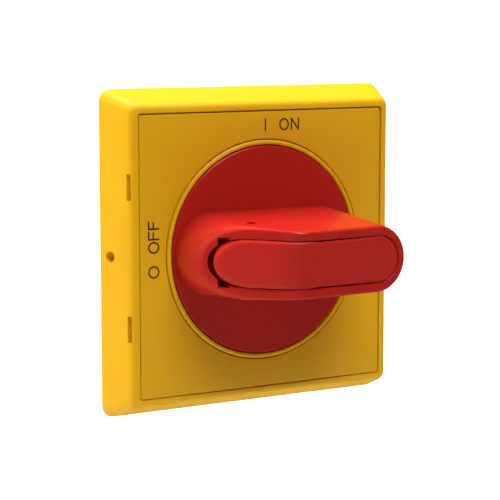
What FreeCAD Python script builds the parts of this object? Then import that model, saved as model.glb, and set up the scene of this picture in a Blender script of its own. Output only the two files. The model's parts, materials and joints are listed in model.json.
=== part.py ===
import FreeCAD, Part
import math
import os

# Door-mounted rotary handle of an isolator switch, in millimetres.
# The origin is on the rotary axis, in the plane of the door.
# +Z is up, the front faces -Y, and the handle's shaft runs along +Y.
# A height is measured outwards (-Y) from the front face of the cover.

V = FreeCAD.Vector

# ---- driving dimensions ------------------------------------------------
# cover
COVER_REAR = 65.0          # side of the square at the door
COVER_INSET = 3.0          # of each side's front edge, from its rear edge
COVER_DEPTH = 8.2
DOOR_GAP = 0.3             # cover's rear edge to the door
COVER_WALL = 2.3
COVER_FRONT_WALL = 2.2
COVER_REAR_CORNER = 2.4
COVER_FRONT_CORNER = 1.7
COVER_EDGE_ROUND = 1.1
PRY_SLOT_LENGTH = 5.1
PRY_SLOT_WIDTH = 0.9
PRY_SLOT_DEPTH = 1.5
PRY_SLOT_CENTRE_Z = 13.85
PRY_SLOT_SETBACK = 0.95    # middle of the slot, behind the front face
SIDE_HOLE_R = 1.05
SIDE_HOLE_SETBACK = 5.6 

# label plate
LABEL_MARGIN = 1.75        # of the cover's front face around the label
LABEL_THICKNESS = 0.9
LABEL_GAP = 0.18
LABEL_CORNER = 0.5

# handle disc and the cover's lip around it
DISC_R = 20.95             # the grip's ends follow it
DISC_PROUD = 0.3
DISC_THICKNESS = 2.9
DISC_EDGE_ROUND = 0.35
LIP_GAP = 0.15
LIP_WALL = 0.95
LIP_PROUD = 0.25
LIP_EDGE_ROUND = 0.35

# grip
GRIP_HALF_WIDTH = 8.25     # at the disc
GRIP_SIDE_DRAFT = 0.0758   # narrowing per millimetre of height
GRIP_LEFT_INSET = 0.45     # of the grip's ends, from the disc's edge
GRIP_RIGHT_INSET = 0.5
GRIP_LEFT_DRAFT = 0.055
GRIP_RIGHT_DRAFT = 0.0964
RIDGE_X = -6.5
RIDGE_HEIGHT = 24.35
RAMP_SLOPE = 1.168         # rise of the ramp per millimetre of X
TOP_SLOPE = -0.053
RIDGE_ROUND = 6.0
GRIP_EDGE_ROUND = 1.3
SIDE_TOOL_HOLE_R = 1.0
SIDE_TOOL_HOLE_OFFSET = 4.0  # to the left of the ridge
SIDE_TOOL_HOLE_DEPTH = 8.2   # below the pivot

# padlock latch
LATCH_SIDE_INSET = 3.85    # of the latch's side and ends, from the grip's at the disc
LATCH_LEFT_INSET = 2.6
LATCH_RIGHT_INSET = 3.9
LATCH_PLATE = 2.4
LATCH_END_BEVEL = 2.9      # under the end that lifts, so that it swings clear of the pocket
LATCH_SIDE_GAP = 0.35      # also at the end beyond the pivot
LATCH_END_GAP = 0.95       # at the end that lifts
LATCH_UNDER_GAP = 0.3
PIVOT_OFFSET = 4.5         # to the left of the lock bolt
PIVOT_DEPTH = 3.35         # below the ridge
PIVOT_R = 1.3
PIVOT_RUNNING_GAP = 0.05
PIVOT_LENGTH = 1.0         # of each trunnion, past the latch's side
PIVOT_BOSS_WALL = 0.7
PIVOT_BOSS_INSET = 1.0     # of the boss's end, from the latch's side
HEEL_DROP = 0.4            # from the pivot to the latch's underside beyond it
HEEL_ROOM_DEPTH = 6.0      # of the pocket under the heel
HEEL_ROOM_REACH = 2.6      # of that pocket, to the left of the pivot
TONGUE_SIDE_INSET = 1.5    # of the tongue's side, from the latch's
TONGUE_SETBACK = 4.43      # of the tongue's outer wall, from the latch's lifting end
TONGUE_WALL = 1.85
TONGUE_OFFSET = 6.5        # of the tongue's right side, to the left of the pivot
TONGUE_RIGHT_WALL = 3.6
TONGUE_DEPTH = 16.7        # below the pivot
TONGUE_BAR = 2.0
TONGUE_GAP = 0.3
NOTCH_SIZE = 1.8           # square notches beside the latch's lifting end
NOTCH_SETBACK = 0.7        # from that end
NOTCH_OUTSET = 0.05        # past the side of the latch's pocket
NOTCH_DEPTH = 3.7

# lock bolt
BOLT_R = 1.6
BOLT_GAP = 0.05
BOLT_TRAVEL = 3.75
BOLT_TOP_GAP = 0.15
BOLT_COLLAR_STEP = 0.9     # of the collar's radius over the bolt's
BOLT_COLLAR_THICKNESS = 1.2
BOLT_COLLAR_RISE = 1.1     # of its underside at rest, from the floor under the heel
BOLT_RECESS = 0.3          # tip inside the disc at rest
BOLT_SEAT_DEPTH = 4.6      # of the spring's counterbore
BOLT_SEAT_GAP = 0.5        # of the counterbore around the collar
BOLT_SPRING_STEP = 0.75    # of the spring's mean radius over the bolt's
BOLT_SPRING_WIRE = 0.22
BOLT_SPRING_TURNS = 4.0
LOCK_HOLE_GAP = 0.4        # around the bolt, in the index ring and the base
LOCK_HOLE_WALL = 0.2       # between that hole and the shaft seal's room
LOCK_END_GAP = 0.35        # past the bolt's tip when it locks
BUSH_WALL = 0.9
BUSH_LENGTH = 2.2

# spigot, bearing and drive hub
SPIGOT_R = 8.0
BEARING_GAP = 0.05
COLLAR_R = 11.0            # locates in the door's hole
COLLAR_LENGTH = 7.0
WASHER_THICKNESS = 0.5
WASHER_STEP = 2.0          # of the washers' and circlip's radius over the spigot's
STACK_GAP = 0.08
SPRING_WASHER_THICKNESS = 0.35
SPRING_WASHER_RISE = 0.3   # of its cone
CIRCLIP_THICKNESS = 1.0
CIRCLIP_GROOVE_DEPTH = 0.7
CIRCLIP_MOUTH = 6.0
SPIGOT_TAIL = 1.2          # of the spigot, past the circlip
SHANK_WALL = 1.25          # of the drive hub's square shank
SHANK_GAP = 0.06
SHANK_CORNER = 0.3
SHANK_END_WALL = 4.67      # ahead of the socket's floor
HUB_HEAD_STEP = 0.6        # of the hub's radius over the spigot's
HUB_HEAD_LENGTH = 8.0
SOCKET_SIDE = 6.3
SOCKET_DEPTH = 16.0
SOCKET_CHAMFER = 1.2
SOCKET_CORNER = 0.2
HUB_SCREW_R = 1.5
HUB_SCREW_HEAD_GAP = 0.4   # around the head in the socket
HUB_SCREW_HEAD = 1.9
HUB_SCREW_LENGTH = 8.5
SCREW_GAP = 0.04
SCREW_SLOT_SHARE = 0.35    # driver slot's width and depth, of the head's radius

# interlock catch in the drive hub
CATCH_SETBACK = 4.0        # centre of the catch, from the hub's rear face
CATCH_NOSE_R = 1.0
CATCH_HEAD_R = 1.5
CATCH_REACH = 0.8          # of the nose, into the socket
CATCH_NOSE_SEAT = 0.9      # wall between the socket and the head
CATCH_HEAD_LENGTH = 1.1
CATCH_SPRING_LENGTH = 1.9
CATCH_SPRING_R = 1.05
CATCH_SPRING_WIRE = 0.15
CATCH_SPRING_TURNS = 3.0
CATCH_GAP = 0.05

# mounting base
BASE_THICKNESS = 3.0
BASE_SIDE_GAP = 0.35
BASE_CORNER = 1.6
BOSS_MARGIN = 0.4          # of the boss that carries the index ring, around it
RING_THICKNESS = 1.4
RING_TOP_GAP = 0.8         # to the disc
RING_BORE_GAP = 0.6        # around the spigot
RING_RIM = 2.0             # outside the lock bolt's holes
RIM_INSET = 0.95           # of the rim that carries the disc seal, from the disc's edge
RIM_WALL = 2.4
RIM_TOP_GAP = 0.9          # to the disc
SEAL_SECTION_R = 0.6
SEAL_GAP = 0.12
SHAFT_SEAL_SECTION_R = 0.8
SHAFT_SEAL_ROOM = 0.1
GASKET_INSET = 0.45        # of the gasket, from the base's side
GASKET_WIDTH = 2.0
GASKET_DEPTH = 1.2
GASKET_SIDE_GAP = 0.05
PILOT_SPACING = 36.0
PILOT_R = 1.7
PILOT_DEPTH = 5.0
PILOT_BOSS_R = 3.6
PILOT_BOSS_GAP = 0.7       # to the inside of the cover
INDEX_SCREW_R = 1.0
INDEX_SCREW_HEAD_R = 1.7
INDEX_SCREW_HEAD = 0.9
INDEX_SCREW_LENGTH = 3.4
INDEX_SCREW_OFFSET = 1.4   # of their circle, outside the lock bolt's
INDEX_SCREW_ANGLES = (45, 165, 225)
COVER_SCREW_MARGIN = 0.8   # between a screw's head and the gasket
COVER_SCREW_R = 1.1
COVER_SCREW_HEAD_R = 2.1
COVER_SCREW_HEAD = 1.3
COVER_SCREW_LENGTH = 5.4
COVER_BOSS_R = 2.6
PART_CLEARANCE = 0.1       # small clearance between neighbours that don't move

# ---- values worked out from the above ----------------------------------
# cover and label
FACE_Y = -(COVER_DEPTH + DOOR_GAP)
COVER_FRONT = COVER_REAR - 2 * COVER_INSET
COVER_DRAFT = COVER_INSET / COVER_DEPTH
COVER_INNER_Y = FACE_Y + COVER_FRONT_WALL
LABEL_SIDE = COVER_FRONT - 2 * LABEL_MARGIN
LABEL_REAR_Y = FACE_Y + LABEL_THICKNESS
LIP_INNER_R = DISC_R + LIP_GAP
LIP_OUTER_R = LIP_INNER_R + LIP_WALL

# spigot, washers and drive hub
DISC_REAR_Y = FACE_Y - DISC_PROUD + DISC_THICKNESS
WASHER_R = SPIGOT_R + WASHER_STEP
SPRING_WASHER_Y = COLLAR_LENGTH + WASHER_THICKNESS + 2 * STACK_GAP
CIRCLIP_FRONT_Y = SPRING_WASHER_Y + SPRING_WASHER_THICKNESS + SPRING_WASHER_RISE + STACK_GAP
SPIGOT_END_Y = CIRCLIP_FRONT_Y + CIRCLIP_THICKNESS + SPIGOT_TAIL
HUB_HEAD_R = SPIGOT_R + HUB_HEAD_STEP
HUB_HEAD_Y = SPIGOT_END_Y + STACK_GAP
HUB_REAR_Y = HUB_HEAD_Y + HUB_HEAD_LENGTH
SOCKET_FLOOR_Y = HUB_REAR_Y - SOCKET_DEPTH
SHANK_SIDE = SOCKET_SIDE + 2 * SHANK_WALL
SHANK_FRONT_Y = SOCKET_FLOOR_Y - SHANK_END_WALL
HUB_SCREW_HEAD_R = SOCKET_SIDE / 2 - HUB_SCREW_HEAD_GAP
CATCH_Y = HUB_REAR_Y - CATCH_SETBACK

# lock bolt and its holes
SHAFT_SEAL_ROOM_R = SPIGOT_R + 2 * SHAFT_SEAL_SECTION_R + 2 * SHAFT_SEAL_ROOM
LOCK_HOLE_R = BOLT_R + LOCK_HOLE_GAP
BOLT_X = SHAFT_SEAL_ROOM_R + LOCK_HOLE_WALL + LOCK_HOLE_R
BOLT_COLLAR_R = BOLT_R + BOLT_COLLAR_STEP
BOLT_TIP_Y = DISC_REAR_Y - BOLT_RECESS
LOCK_FLOOR_Y = BOLT_TIP_Y + BOLT_TRAVEL + LOCK_END_GAP

# grip, latch and pivot
GRIP_LEFT = GRIP_LEFT_INSET - DISC_R
GRIP_RIGHT = DISC_R - GRIP_RIGHT_INSET
LATCH_LEFT = GRIP_LEFT + LATCH_LEFT_INSET
LATCH_RIGHT = GRIP_RIGHT - LATCH_RIGHT_INSET
LATCH_HALF_WIDTH = GRIP_HALF_WIDTH - LATCH_SIDE_INSET
PIVOT_X = BOLT_X - PIVOT_OFFSET
PIVOT_HEIGHT = RIDGE_HEIGHT - PIVOT_DEPTH
PIVOT_BOSS_R = PIVOT_R + PIVOT_BOSS_WALL
HEEL_UNDERSIDE = PIVOT_HEIGHT - HEEL_DROP
HEEL_ROOM_FLOOR = HEEL_UNDERSIDE - HEEL_ROOM_DEPTH
BOLT_SEAT_HEIGHT = HEEL_ROOM_FLOOR - BOLT_SEAT_DEPTH
BOLT_COLLAR_HEIGHT = HEEL_ROOM_FLOOR + BOLT_COLLAR_RISE
TONGUE_HALF_WIDTH = LATCH_HALF_WIDTH - TONGUE_SIDE_INSET
TONGUE_RIGHT = PIVOT_X - TONGUE_OFFSET
TONGUE_BOTTOM = PIVOT_HEIGHT - TONGUE_DEPTH

# mounting base
BASE_SIDE = COVER_REAR - 2 * (COVER_WALL + COVER_DRAFT * BASE_THICKNESS + BASE_SIDE_GAP)
RING_OUTER_R = BOLT_X + LOCK_HOLE_R + RING_RIM
RING_TOP_Y = DISC_REAR_Y + RING_TOP_GAP
BOSS_TOP_Y = RING_TOP_Y + RING_THICKNESS
RIM_OUTER_R = DISC_R - RIM_INSET
RIM_TOP_Y = DISC_REAR_Y + RIM_TOP_GAP
SEAL_CENTRE_R = RIM_OUTER_R - RIM_WALL / 2
SEAL_Y = DISC_REAR_Y + SEAL_GAP + SEAL_SECTION_R
GASKET_OUTER = BASE_SIDE - 2 * GASKET_INSET
COVER_SCREW_PLACE = GASKET_OUTER / 2 - GASKET_WIDTH - COVER_SCREW_HEAD_R - COVER_SCREW_MARGIN

# for cutting tools and comparisons
WIDE = 30.0                # past the outside of the grip, for cutting tools
OVERCUT = 1.0              # of a cutting tool, past the face that it opens
OVERLAP = 0.1              # of two shapes that are joined into one piece
SAME = 1e-3                # places closer than this are the same


# ---- helpers ------------------------------------------------------------
def y_at(height):
    """Y of a point that stands this high above the cover's front face."""
    return FACE_Y - height


def rod(radius, x, z, y_from, y_to):
    """A cylinder along Y."""
    return Part.makeCylinder(radius, y_to - y_from, V(x, y_from, z), V(0, 1, 0))


def tube(outer_r, inner_r, y_from, y_to, x=0.0, z=0.0):
    """A ring or tube along Y."""
    return rod(outer_r, x, z, y_from, y_to).cut(rod(inner_r, x, z, y_from - OVERCUT, y_to + OVERCUT))


def rounded_square(side, corner, y):
    """A closed wire, a square with round corners in the plane of this Y."""
    half = side / 2
    flat = half - corner
    diagonal = corner * math.sqrt(0.5)
    edges = []
    for turn in range(4):
        angle = math.radians(90 * turn)

        def place(x, z):
            return V(
                x * math.cos(angle) - z * math.sin(angle), y, x * math.sin(angle) + z * math.cos(angle)
            )

        edges.append(Part.LineSegment(place(half, -flat), place(half, flat)).toShape())
        middle = flat + diagonal
        edges.append(Part.Arc(place(half, flat), place(middle, middle), place(flat, half)).toShape())
    return Part.Wire(edges)


def square_block(side, corner, y_from, y_to):
    """A square plate with round corners between two planes across Y."""
    return Part.Face(rounded_square(side, corner, y_from)).extrude(V(0, y_to - y_from, 0))


def stadium(left, right, half_width, y):
    """A closed wire, a slot shape along X in the plane of this Y."""
    start, end = left + half_width, right - half_width
    edges = [
        Part.LineSegment(V(start, y, half_width), V(end, y, half_width)).toShape(),
        Part.Arc(V(end, y, half_width), V(right, y, 0), V(end, y, -half_width)).toShape(),
        Part.LineSegment(V(end, y, -half_width), V(start, y, -half_width)).toShape(),
        Part.Arc(V(start, y, -half_width), V(left, y, 0), V(start, y, half_width)).toShape(),
    ]
    return Part.Wire(edges)


def side_slab(points, half_width):
    """A slab as wide as this to both sides of Z = 0, its outline in (x, height)."""
    corners = [V(x, y_at(height), -half_width) for x, height in points]
    return Part.Face(Part.makePolygon(corners + corners[:1])).extrude(V(0, 0, 2 * half_width))


def pivot_cylinder(radius, half_width):
    """A cylinder about the latch's pivot."""
    return Part.makeCylinder(
        radius, 2 * half_width, V(PIVOT_X, y_at(PIVOT_HEIGHT), -half_width), V(0, 0, 1)
    )


def helix_spring(radius, wire_r, length, turns):
    """A compression spring along +Z from the origin, its wire inside the length."""
    pitch = (length - 2 * wire_r) / turns
    path = Part.makeHelix(pitch, length - 2 * wire_r, radius)
    path.translate(V(0, 0, wire_r))
    section = Part.Wire(Part.makeCircle(wire_r, V(radius, 0, wire_r), V(0, 1, 0)))
    return Part.Wire(path).makePipeShell([section], True, True)


def top_height(x):
    """Height of the grip's front surface at this X, ahead of the ridge's rounding."""
    slope = RAMP_SLOPE if x < RIDGE_X else TOP_SLOPE
    return RIDGE_HEIGHT + slope * (x - RIDGE_X)


def latch_sweep_r():
    """Distance from the pivot to the latch's lifting end, at its front face."""
    return math.hypot(PIVOT_X - LATCH_LEFT, PIVOT_HEIGHT - top_height(LATCH_LEFT))


def tongue_radius():
    """Distance from the pivot to the tongue's outer wall."""
    return latch_sweep_r() - TONGUE_SETBACK


def round_edges(shape, radius, chosen):
    """Round the edges that the test picks."""
    return shape.makeFillet(radius, [edge for edge in shape.Edges if chosen(edge)])


def front_surface(drop, left, right, floor_height):
    """A slab outline under the grip's front surface, this far below it."""
    ramp_drop = drop * math.hypot(1, RAMP_SLOPE)
    ridge_drop = top_height(RIDGE_X) - drop
    ridge_x = RIDGE_X + (ramp_drop - drop) / (RAMP_SLOPE - TOP_SLOPE)
    ridge_drop += TOP_SLOPE * (ridge_x - RIDGE_X)
    left_height = top_height(left) - ramp_drop
    return [
        (left, floor_height),
        (left, left_height),
        (ridge_x, ridge_drop),
        (right, top_height(right) - drop),
        (right, floor_height),
    ]


# ---- cover and label ----------------------------------------------------
def cover_frame():
    """The cover: a shallow box with sloping sides, a label recess and a round lip."""
    outer = Part.makeLoft(
        [
            rounded_square(COVER_REAR, COVER_REAR_CORNER, -DOOR_GAP),
            rounded_square(COVER_FRONT, COVER_FRONT_CORNER, FACE_Y),
        ],
        True,
        True,
    )
    outer = round_edges(
        outer,
        COVER_EDGE_ROUND,
        lambda edge: all(abs(v.Point.y - FACE_Y) < SAME for v in edge.Vertexes),
    )
    inner_front = COVER_FRONT + 2 * COVER_DRAFT * COVER_FRONT_WALL - 2 * COVER_WALL
    cavity = Part.makeLoft(
        [
            rounded_square(COVER_REAR - 2 * COVER_WALL, COVER_REAR_CORNER / 2, -DOOR_GAP),
            rounded_square(inner_front, COVER_FRONT_CORNER / 2, COVER_INNER_Y),
        ],
        True,
        True,
    )
    recess = square_block(
        LABEL_SIDE + 2 * LABEL_GAP, LABEL_CORNER + LABEL_GAP, FACE_Y - OVERCUT, LABEL_REAR_Y
    )
    recess = recess.cut(rod(LIP_OUTER_R, 0, 0, FACE_Y - OVERCUT, LABEL_REAR_Y))
    cover = outer.cut(cavity).cut(recess)
    lip = tube(LIP_OUTER_R, LIP_INNER_R, FACE_Y - LIP_PROUD, COVER_INNER_Y)
    lip = round_edges(
        lip,
        LIP_EDGE_ROUND,
        lambda edge: abs(edge.BoundBox.YMax - (FACE_Y - LIP_PROUD)) < SAME,
    )
    for x, z in corners(COVER_SCREW_PLACE):
        boss = rod(COVER_BOSS_R, x, z, COVER_INNER_Y - OVERLAP, -BASE_THICKNESS)
        cover = cover.fuse(boss)
    cover = cover.cut(rod(LIP_INNER_R, 0, 0, FACE_Y - OVERCUT, 0)).fuse(lip)
    for x, z in corners(COVER_SCREW_PLACE):
        tip_y = -COVER_SCREW_LENGTH - PART_CLEARANCE
        cover = cover.cut(rod(COVER_SCREW_R + SCREW_GAP, x, z, tip_y, 0))
    return cover.cut(cover_side_cuts()).removeSplitter()


def cover_side_cuts():
    """The pry slots and the round holes in the cover's left and right sides."""
    cuts = []
    slot_y = FACE_Y + PRY_SLOT_SETBACK
    for side in (-1, 1):
        face_x = COVER_FRONT / 2 + COVER_DRAFT * PRY_SLOT_SETBACK
        for z in (-PRY_SLOT_CENTRE_Z, PRY_SLOT_CENTRE_Z):
            low_x = side * face_x - PRY_SLOT_DEPTH
            cuts.append(
                Part.makeBox(
                    2 * PRY_SLOT_DEPTH,
                    PRY_SLOT_WIDTH,
                    PRY_SLOT_LENGTH,
                    V(low_x, slot_y - PRY_SLOT_WIDTH / 2, z - PRY_SLOT_LENGTH / 2),
                )
            )
        start = V(side * COVER_REAR / 2, FACE_Y + SIDE_HOLE_SETBACK, 0)
        cuts.append(Part.makeCylinder(SIDE_HOLE_R, 2 * COVER_WALL, start, V(-side, 0, 0)))
    return Part.makeCompound(cuts)


def label_plate():
    """The square front plate with the round hole for the handle."""
    plate = square_block(LABEL_SIDE, LABEL_CORNER, FACE_Y, LABEL_REAR_Y)
    return plate.cut(rod(LIP_OUTER_R + LABEL_GAP, 0, 0, FACE_Y - OVERCUT, LABEL_REAR_Y + OVERCUT))


def corners(place):
    """The four (x, z) pairs of a square pattern."""
    return [(x, z) for x in (-place, place) for z in (-place, place)]


# ---- mounting base ------------------------------------------------------
def lock_places():
    """Where the lock bolt's holes are: at OFF, and a quarter turn on at ON."""
    return [(BOLT_X, 0.0), (0.0, -BOLT_X)]


def index_screw_places():
    """Centres of the screws that hold the index ring."""
    circle_r = BOLT_X + INDEX_SCREW_OFFSET
    turns = [math.radians(angle) for angle in INDEX_SCREW_ANGLES]
    return [(circle_r * math.cos(turn), circle_r * math.sin(turn)) for turn in turns]


def mounting_base():
    """The base plate that is screwed to the door and carries the handle's bearing."""
    base = square_block(BASE_SIDE, BASE_CORNER, -BASE_THICKNESS, 0)
    base = base.fuse(rod(RING_OUTER_R + BOSS_MARGIN, 0, 0, BOSS_TOP_Y, -OVERCUT))
    base = base.fuse(tube(RIM_OUTER_R, RIM_OUTER_R - RIM_WALL, RIM_TOP_Y, -OVERCUT))
    base = base.fuse(rod(COLLAR_R, 0, 0, -OVERCUT, COLLAR_LENGTH))
    for x, z in corners(PILOT_SPACING / 2):
        base = base.fuse(rod(PILOT_BOSS_R, x, z, COVER_INNER_Y + PILOT_BOSS_GAP, -OVERCUT))
    return base.cut(Part.makeCompound(base_cuts())).removeSplitter()


def base_cuts():
    """Everything cut from the base: bearing, seats, screw holes and lock pockets."""
    seal_floor_y = BOSS_TOP_Y + 2 * SHAFT_SEAL_SECTION_R
    cuts = [
        rod(SPIGOT_R + BEARING_GAP, 0, 0, BOSS_TOP_Y - OVERCUT, COLLAR_LENGTH + OVERCUT),
        rod(SHAFT_SEAL_ROOM_R, 0, 0, BOSS_TOP_Y - OVERCUT, seal_floor_y),
        gasket_ring(GASKET_SIDE_GAP),
        seal_groove(),
    ]
    for x, z in lock_places():
        cuts.append(rod(LOCK_HOLE_R, x, z, BOSS_TOP_Y - OVERCUT, LOCK_FLOOR_Y))
    for x, z in corners(PILOT_SPACING / 2):
        cuts.append(rod(PILOT_R, x, z, -PILOT_DEPTH, OVERCUT))
    for x, z in index_screw_places():
        tip_y = RING_TOP_Y + INDEX_SCREW_LENGTH + PART_CLEARANCE
        cuts.append(rod(INDEX_SCREW_R + SCREW_GAP, x, z, BOSS_TOP_Y - OVERCUT, tip_y))
    for x, z in corners(COVER_SCREW_PLACE):
        cuts.append(rod(COVER_SCREW_R + PART_CLEARANCE, x, z, -BASE_THICKNESS - OVERCUT, OVERCUT))
        cuts.append(rod(COVER_SCREW_HEAD_R + PART_CLEARANCE, x, z, -COVER_SCREW_HEAD, OVERCUT))
    return cuts


def gasket_ring(grow=0.0):
    """The square sealing strip in the rear of the base, or its groove."""
    outer = square_block(GASKET_OUTER + 2 * grow, BASE_CORNER + grow, -GASKET_DEPTH, 0)
    inner_side = GASKET_OUTER - 2 * GASKET_WIDTH - 2 * grow
    return outer.cut(square_block(inner_side, BASE_CORNER, -GASKET_DEPTH - OVERCUT, OVERCUT))


def seal_groove():
    """The groove for the disc seal in the base's rim."""
    half = SEAL_SECTION_R + SEAL_GAP / 2
    floor_y = SEAL_Y + SEAL_SECTION_R
    return tube(SEAL_CENTRE_R + half, SEAL_CENTRE_R - half, RIM_TOP_Y - OVERCUT, floor_y)


def disc_seal():
    """The ring that seals the disc against the base."""
    return Part.makeTorus(SEAL_CENTRE_R, SEAL_SECTION_R, V(0, SEAL_Y, 0), V(0, 1, 0))


def shaft_seal():
    """The ring that seals the spigot in the base."""
    centre_r = SPIGOT_R + SHAFT_SEAL_ROOM + SHAFT_SEAL_SECTION_R
    centre_y = BOSS_TOP_Y + SHAFT_SEAL_SECTION_R
    return Part.makeTorus(centre_r, SHAFT_SEAL_SECTION_R, V(0, centre_y, 0), V(0, 1, 0))


def index_ring():
    """The flat steel ring with the two holes that the lock bolt enters."""
    ring = tube(RING_OUTER_R, SPIGOT_R + RING_BORE_GAP, RING_TOP_Y, BOSS_TOP_Y)
    above, below = RING_TOP_Y - OVERCUT, BOSS_TOP_Y + OVERCUT
    head_floor = RING_TOP_Y + INDEX_SCREW_HEAD
    for x, z in lock_places():
        ring = ring.cut(rod(LOCK_HOLE_R, x, z, above, below))
    for x, z in index_screw_places():
        ring = ring.cut(rod(INDEX_SCREW_R + PART_CLEARANCE, x, z, above, below))
        ring = ring.cut(rod(INDEX_SCREW_HEAD_R + PART_CLEARANCE, x, z, above, head_floor))
    return ring


def screw(x, z, head_y, direction, head_r, head_length, shank_r, length):
    """A screw along Y from its head's outer face, pointing in this direction of Y."""
    axis = V(0, direction, 0)
    start = V(x, head_y, z)
    head = Part.makeCylinder(head_r, head_length, start, axis)
    slot_side = head_r * SCREW_SLOT_SHARE
    slot = Part.makeBox(
        2 * head_r, slot_side, slot_side, V(x - head_r, head_y - slot_side / 2, z - slot_side / 2)
    )
    return head.cut(slot).fuse(Part.makeCylinder(shank_r, length, start, axis).cut(slot))


def index_screws():
    """The small screws of the index ring."""
    sizes = (INDEX_SCREW_HEAD_R, INDEX_SCREW_HEAD, INDEX_SCREW_R, INDEX_SCREW_LENGTH)
    return Part.makeCompound([screw(x, z, RING_TOP_Y, 1, *sizes) for x, z in index_screw_places()])


def cover_screws():
    """The screws that hold the cover on the base, entered from the rear."""
    sizes = (COVER_SCREW_HEAD_R, COVER_SCREW_HEAD, COVER_SCREW_R, COVER_SCREW_LENGTH)
    return Part.makeCompound([screw(x, z, 0, -1, *sizes) for x, z in corners(COVER_SCREW_PLACE)])


# ---- handle -------------------------------------------------------------
def grip_blank():
    """The grip's outer form: a drafted slot shape under a ramp, ridge and flat top."""
    foot, head = -DISC_PROUD, RIDGE_HEIGHT + OVERCUT
    sections = []
    for height in (foot, head):
        sections.append(
            stadium(
                GRIP_LEFT + GRIP_LEFT_DRAFT * height,
                GRIP_RIGHT - GRIP_RIGHT_DRAFT * height,
                GRIP_HALF_WIDTH - GRIP_SIDE_DRAFT * height,
                y_at(height),
            )
        )
    blank = Part.makeLoft(sections, True, True)
    slab = side_slab(front_surface(0, -WIDE, WIDE, foot), WIDE)
    slab = round_edges(slab, RIDGE_ROUND, is_ridge)
    grip = blank.common(slab)
    return round_edges(grip, GRIP_EDGE_ROUND, is_rim)


def is_ridge(edge):
    """Whether this edge of the slab is the ridge."""
    return all(abs(v.Point.x - RIDGE_X) < SAME for v in edge.Vertexes)


def is_rim(edge):
    """Whether this edge of the grip runs around its front surface."""
    middle = edge.valueAt((edge.FirstParameter + edge.LastParameter) / 2)
    near_front = top_height(middle.x) - (FACE_Y - middle.y) < RIDGE_ROUND / 4
    crosses = edge.BoundBox.ZMin < 0 < edge.BoundBox.ZMax and edge.BoundBox.XLength < SAME
    return near_front and not crosses


def knob():
    """The handle: disc, grip and spigot in one moulding."""
    disc = rod(DISC_R, 0, 0, FACE_Y - DISC_PROUD, DISC_REAR_Y)
    disc = round_edges(
        disc, DISC_EDGE_ROUND, lambda edge: abs(edge.BoundBox.YMax - (FACE_Y - DISC_PROUD)) < SAME
    )
    spigot = rod(SPIGOT_R, 0, 0, DISC_REAR_Y - OVERCUT, SPIGOT_END_Y)
    body = disc.fuse(grip_blank()).fuse(spigot)
    return body.cut(Part.makeCompound(knob_cuts())).removeSplitter()


def knob_cuts():
    """Everything cut from the handle."""
    bore_side = SHANK_SIDE + 2 * SHANK_GAP
    groove_r = SPIGOT_R - CIRCLIP_GROOVE_DEPTH
    groove_end = CIRCLIP_FRONT_Y + CIRCLIP_THICKNESS + STACK_GAP
    bush_r = BOLT_R + BOLT_GAP + BUSH_WALL
    seat_r = BOLT_COLLAR_R + BOLT_SEAT_GAP
    hub_screw_tip = SOCKET_FLOOR_Y - HUB_SCREW_LENGTH - PART_CLEARANCE
    tool_hole_y = y_at(PIVOT_HEIGHT - SIDE_TOOL_HOLE_DEPTH)
    tool_hole_start = V(RIDGE_X - SIDE_TOOL_HOLE_OFFSET, tool_hole_y, TONGUE_HALF_WIDTH)
    cuts = [
        square_block(bore_side, SHANK_CORNER, SHANK_FRONT_Y - PART_CLEARANCE, SPIGOT_END_Y + OVERCUT),
        rod(HUB_SCREW_R + SCREW_GAP, 0, 0, hub_screw_tip, SHANK_FRONT_Y),
        tube(SPIGOT_R + OVERCUT, groove_r, CIRCLIP_FRONT_Y - STACK_GAP, groove_end),
        rod(BOLT_R + BOLT_GAP, BOLT_X, 0, y_at(HEEL_ROOM_FLOOR + OVERCUT), 0),
        rod(seat_r, BOLT_X, 0, y_at(HEEL_ROOM_FLOOR + OVERCUT), y_at(BOLT_SEAT_HEIGHT)),
        rod(bush_r + SCREW_GAP, BOLT_X, 0, DISC_REAR_Y - BUSH_LENGTH, 0),
        Part.makeCylinder(SIDE_TOOL_HOLE_R, GRIP_HALF_WIDTH, tool_hole_start, V(0, 0, 1)),
    ]
    return cuts + latch_pocket()


def latch_column(grow):
    """The latch's outline, this much wider all round, from the disc to past the ridge."""
    top = RIDGE_HEIGHT + OVERCUT
    half = LATCH_HALF_WIDTH + grow
    left = LATCH_LEFT - (LATCH_END_GAP if grow else 0)
    return Part.Face(stadium(left, LATCH_RIGHT + grow, half, y_at(top))).extrude(V(0, top, 0))


def latch_pocket():
    """The room for the latch: a shallow pocket, the heel's room and the tongue's slot."""
    column = latch_column(LATCH_SIDE_GAP)
    floor_drop = LATCH_PLATE + LATCH_UNDER_GAP
    shallow = column.cut(side_slab(front_surface(floor_drop, -WIDE, WIDE, 0), WIDE))
    heel_left = PIVOT_X - HEEL_ROOM_REACH
    heel_corners = [(heel_left, HEEL_ROOM_FLOOR), (heel_left, WIDE)]
    heel_corners += [(WIDE, WIDE), (WIDE, HEEL_ROOM_FLOOR)]
    heel_room = column.common(side_slab(heel_corners, WIDE))
    slot_half = TONGUE_HALF_WIDTH + TONGUE_GAP
    slot_right = TONGUE_RIGHT + TONGUE_GAP
    slot_floor = TONGUE_BOTTOM - TONGUE_GAP
    slot_corners = [(-WIDE, slot_floor), (-WIDE, WIDE), (slot_right, WIDE), (slot_right, slot_floor)]
    slot = side_slab(slot_corners, slot_half)
    slot = slot.common(pivot_cylinder(tongue_radius() + TONGUE_GAP, slot_half))
    trunnion_half = LATCH_HALF_WIDTH + PIVOT_LENGTH + PART_CLEARANCE
    trunnions = pivot_cylinder(PIVOT_R + PIVOT_RUNNING_GAP, trunnion_half)
    return [shallow, heel_room, slot, trunnions] + latch_notches()


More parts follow.
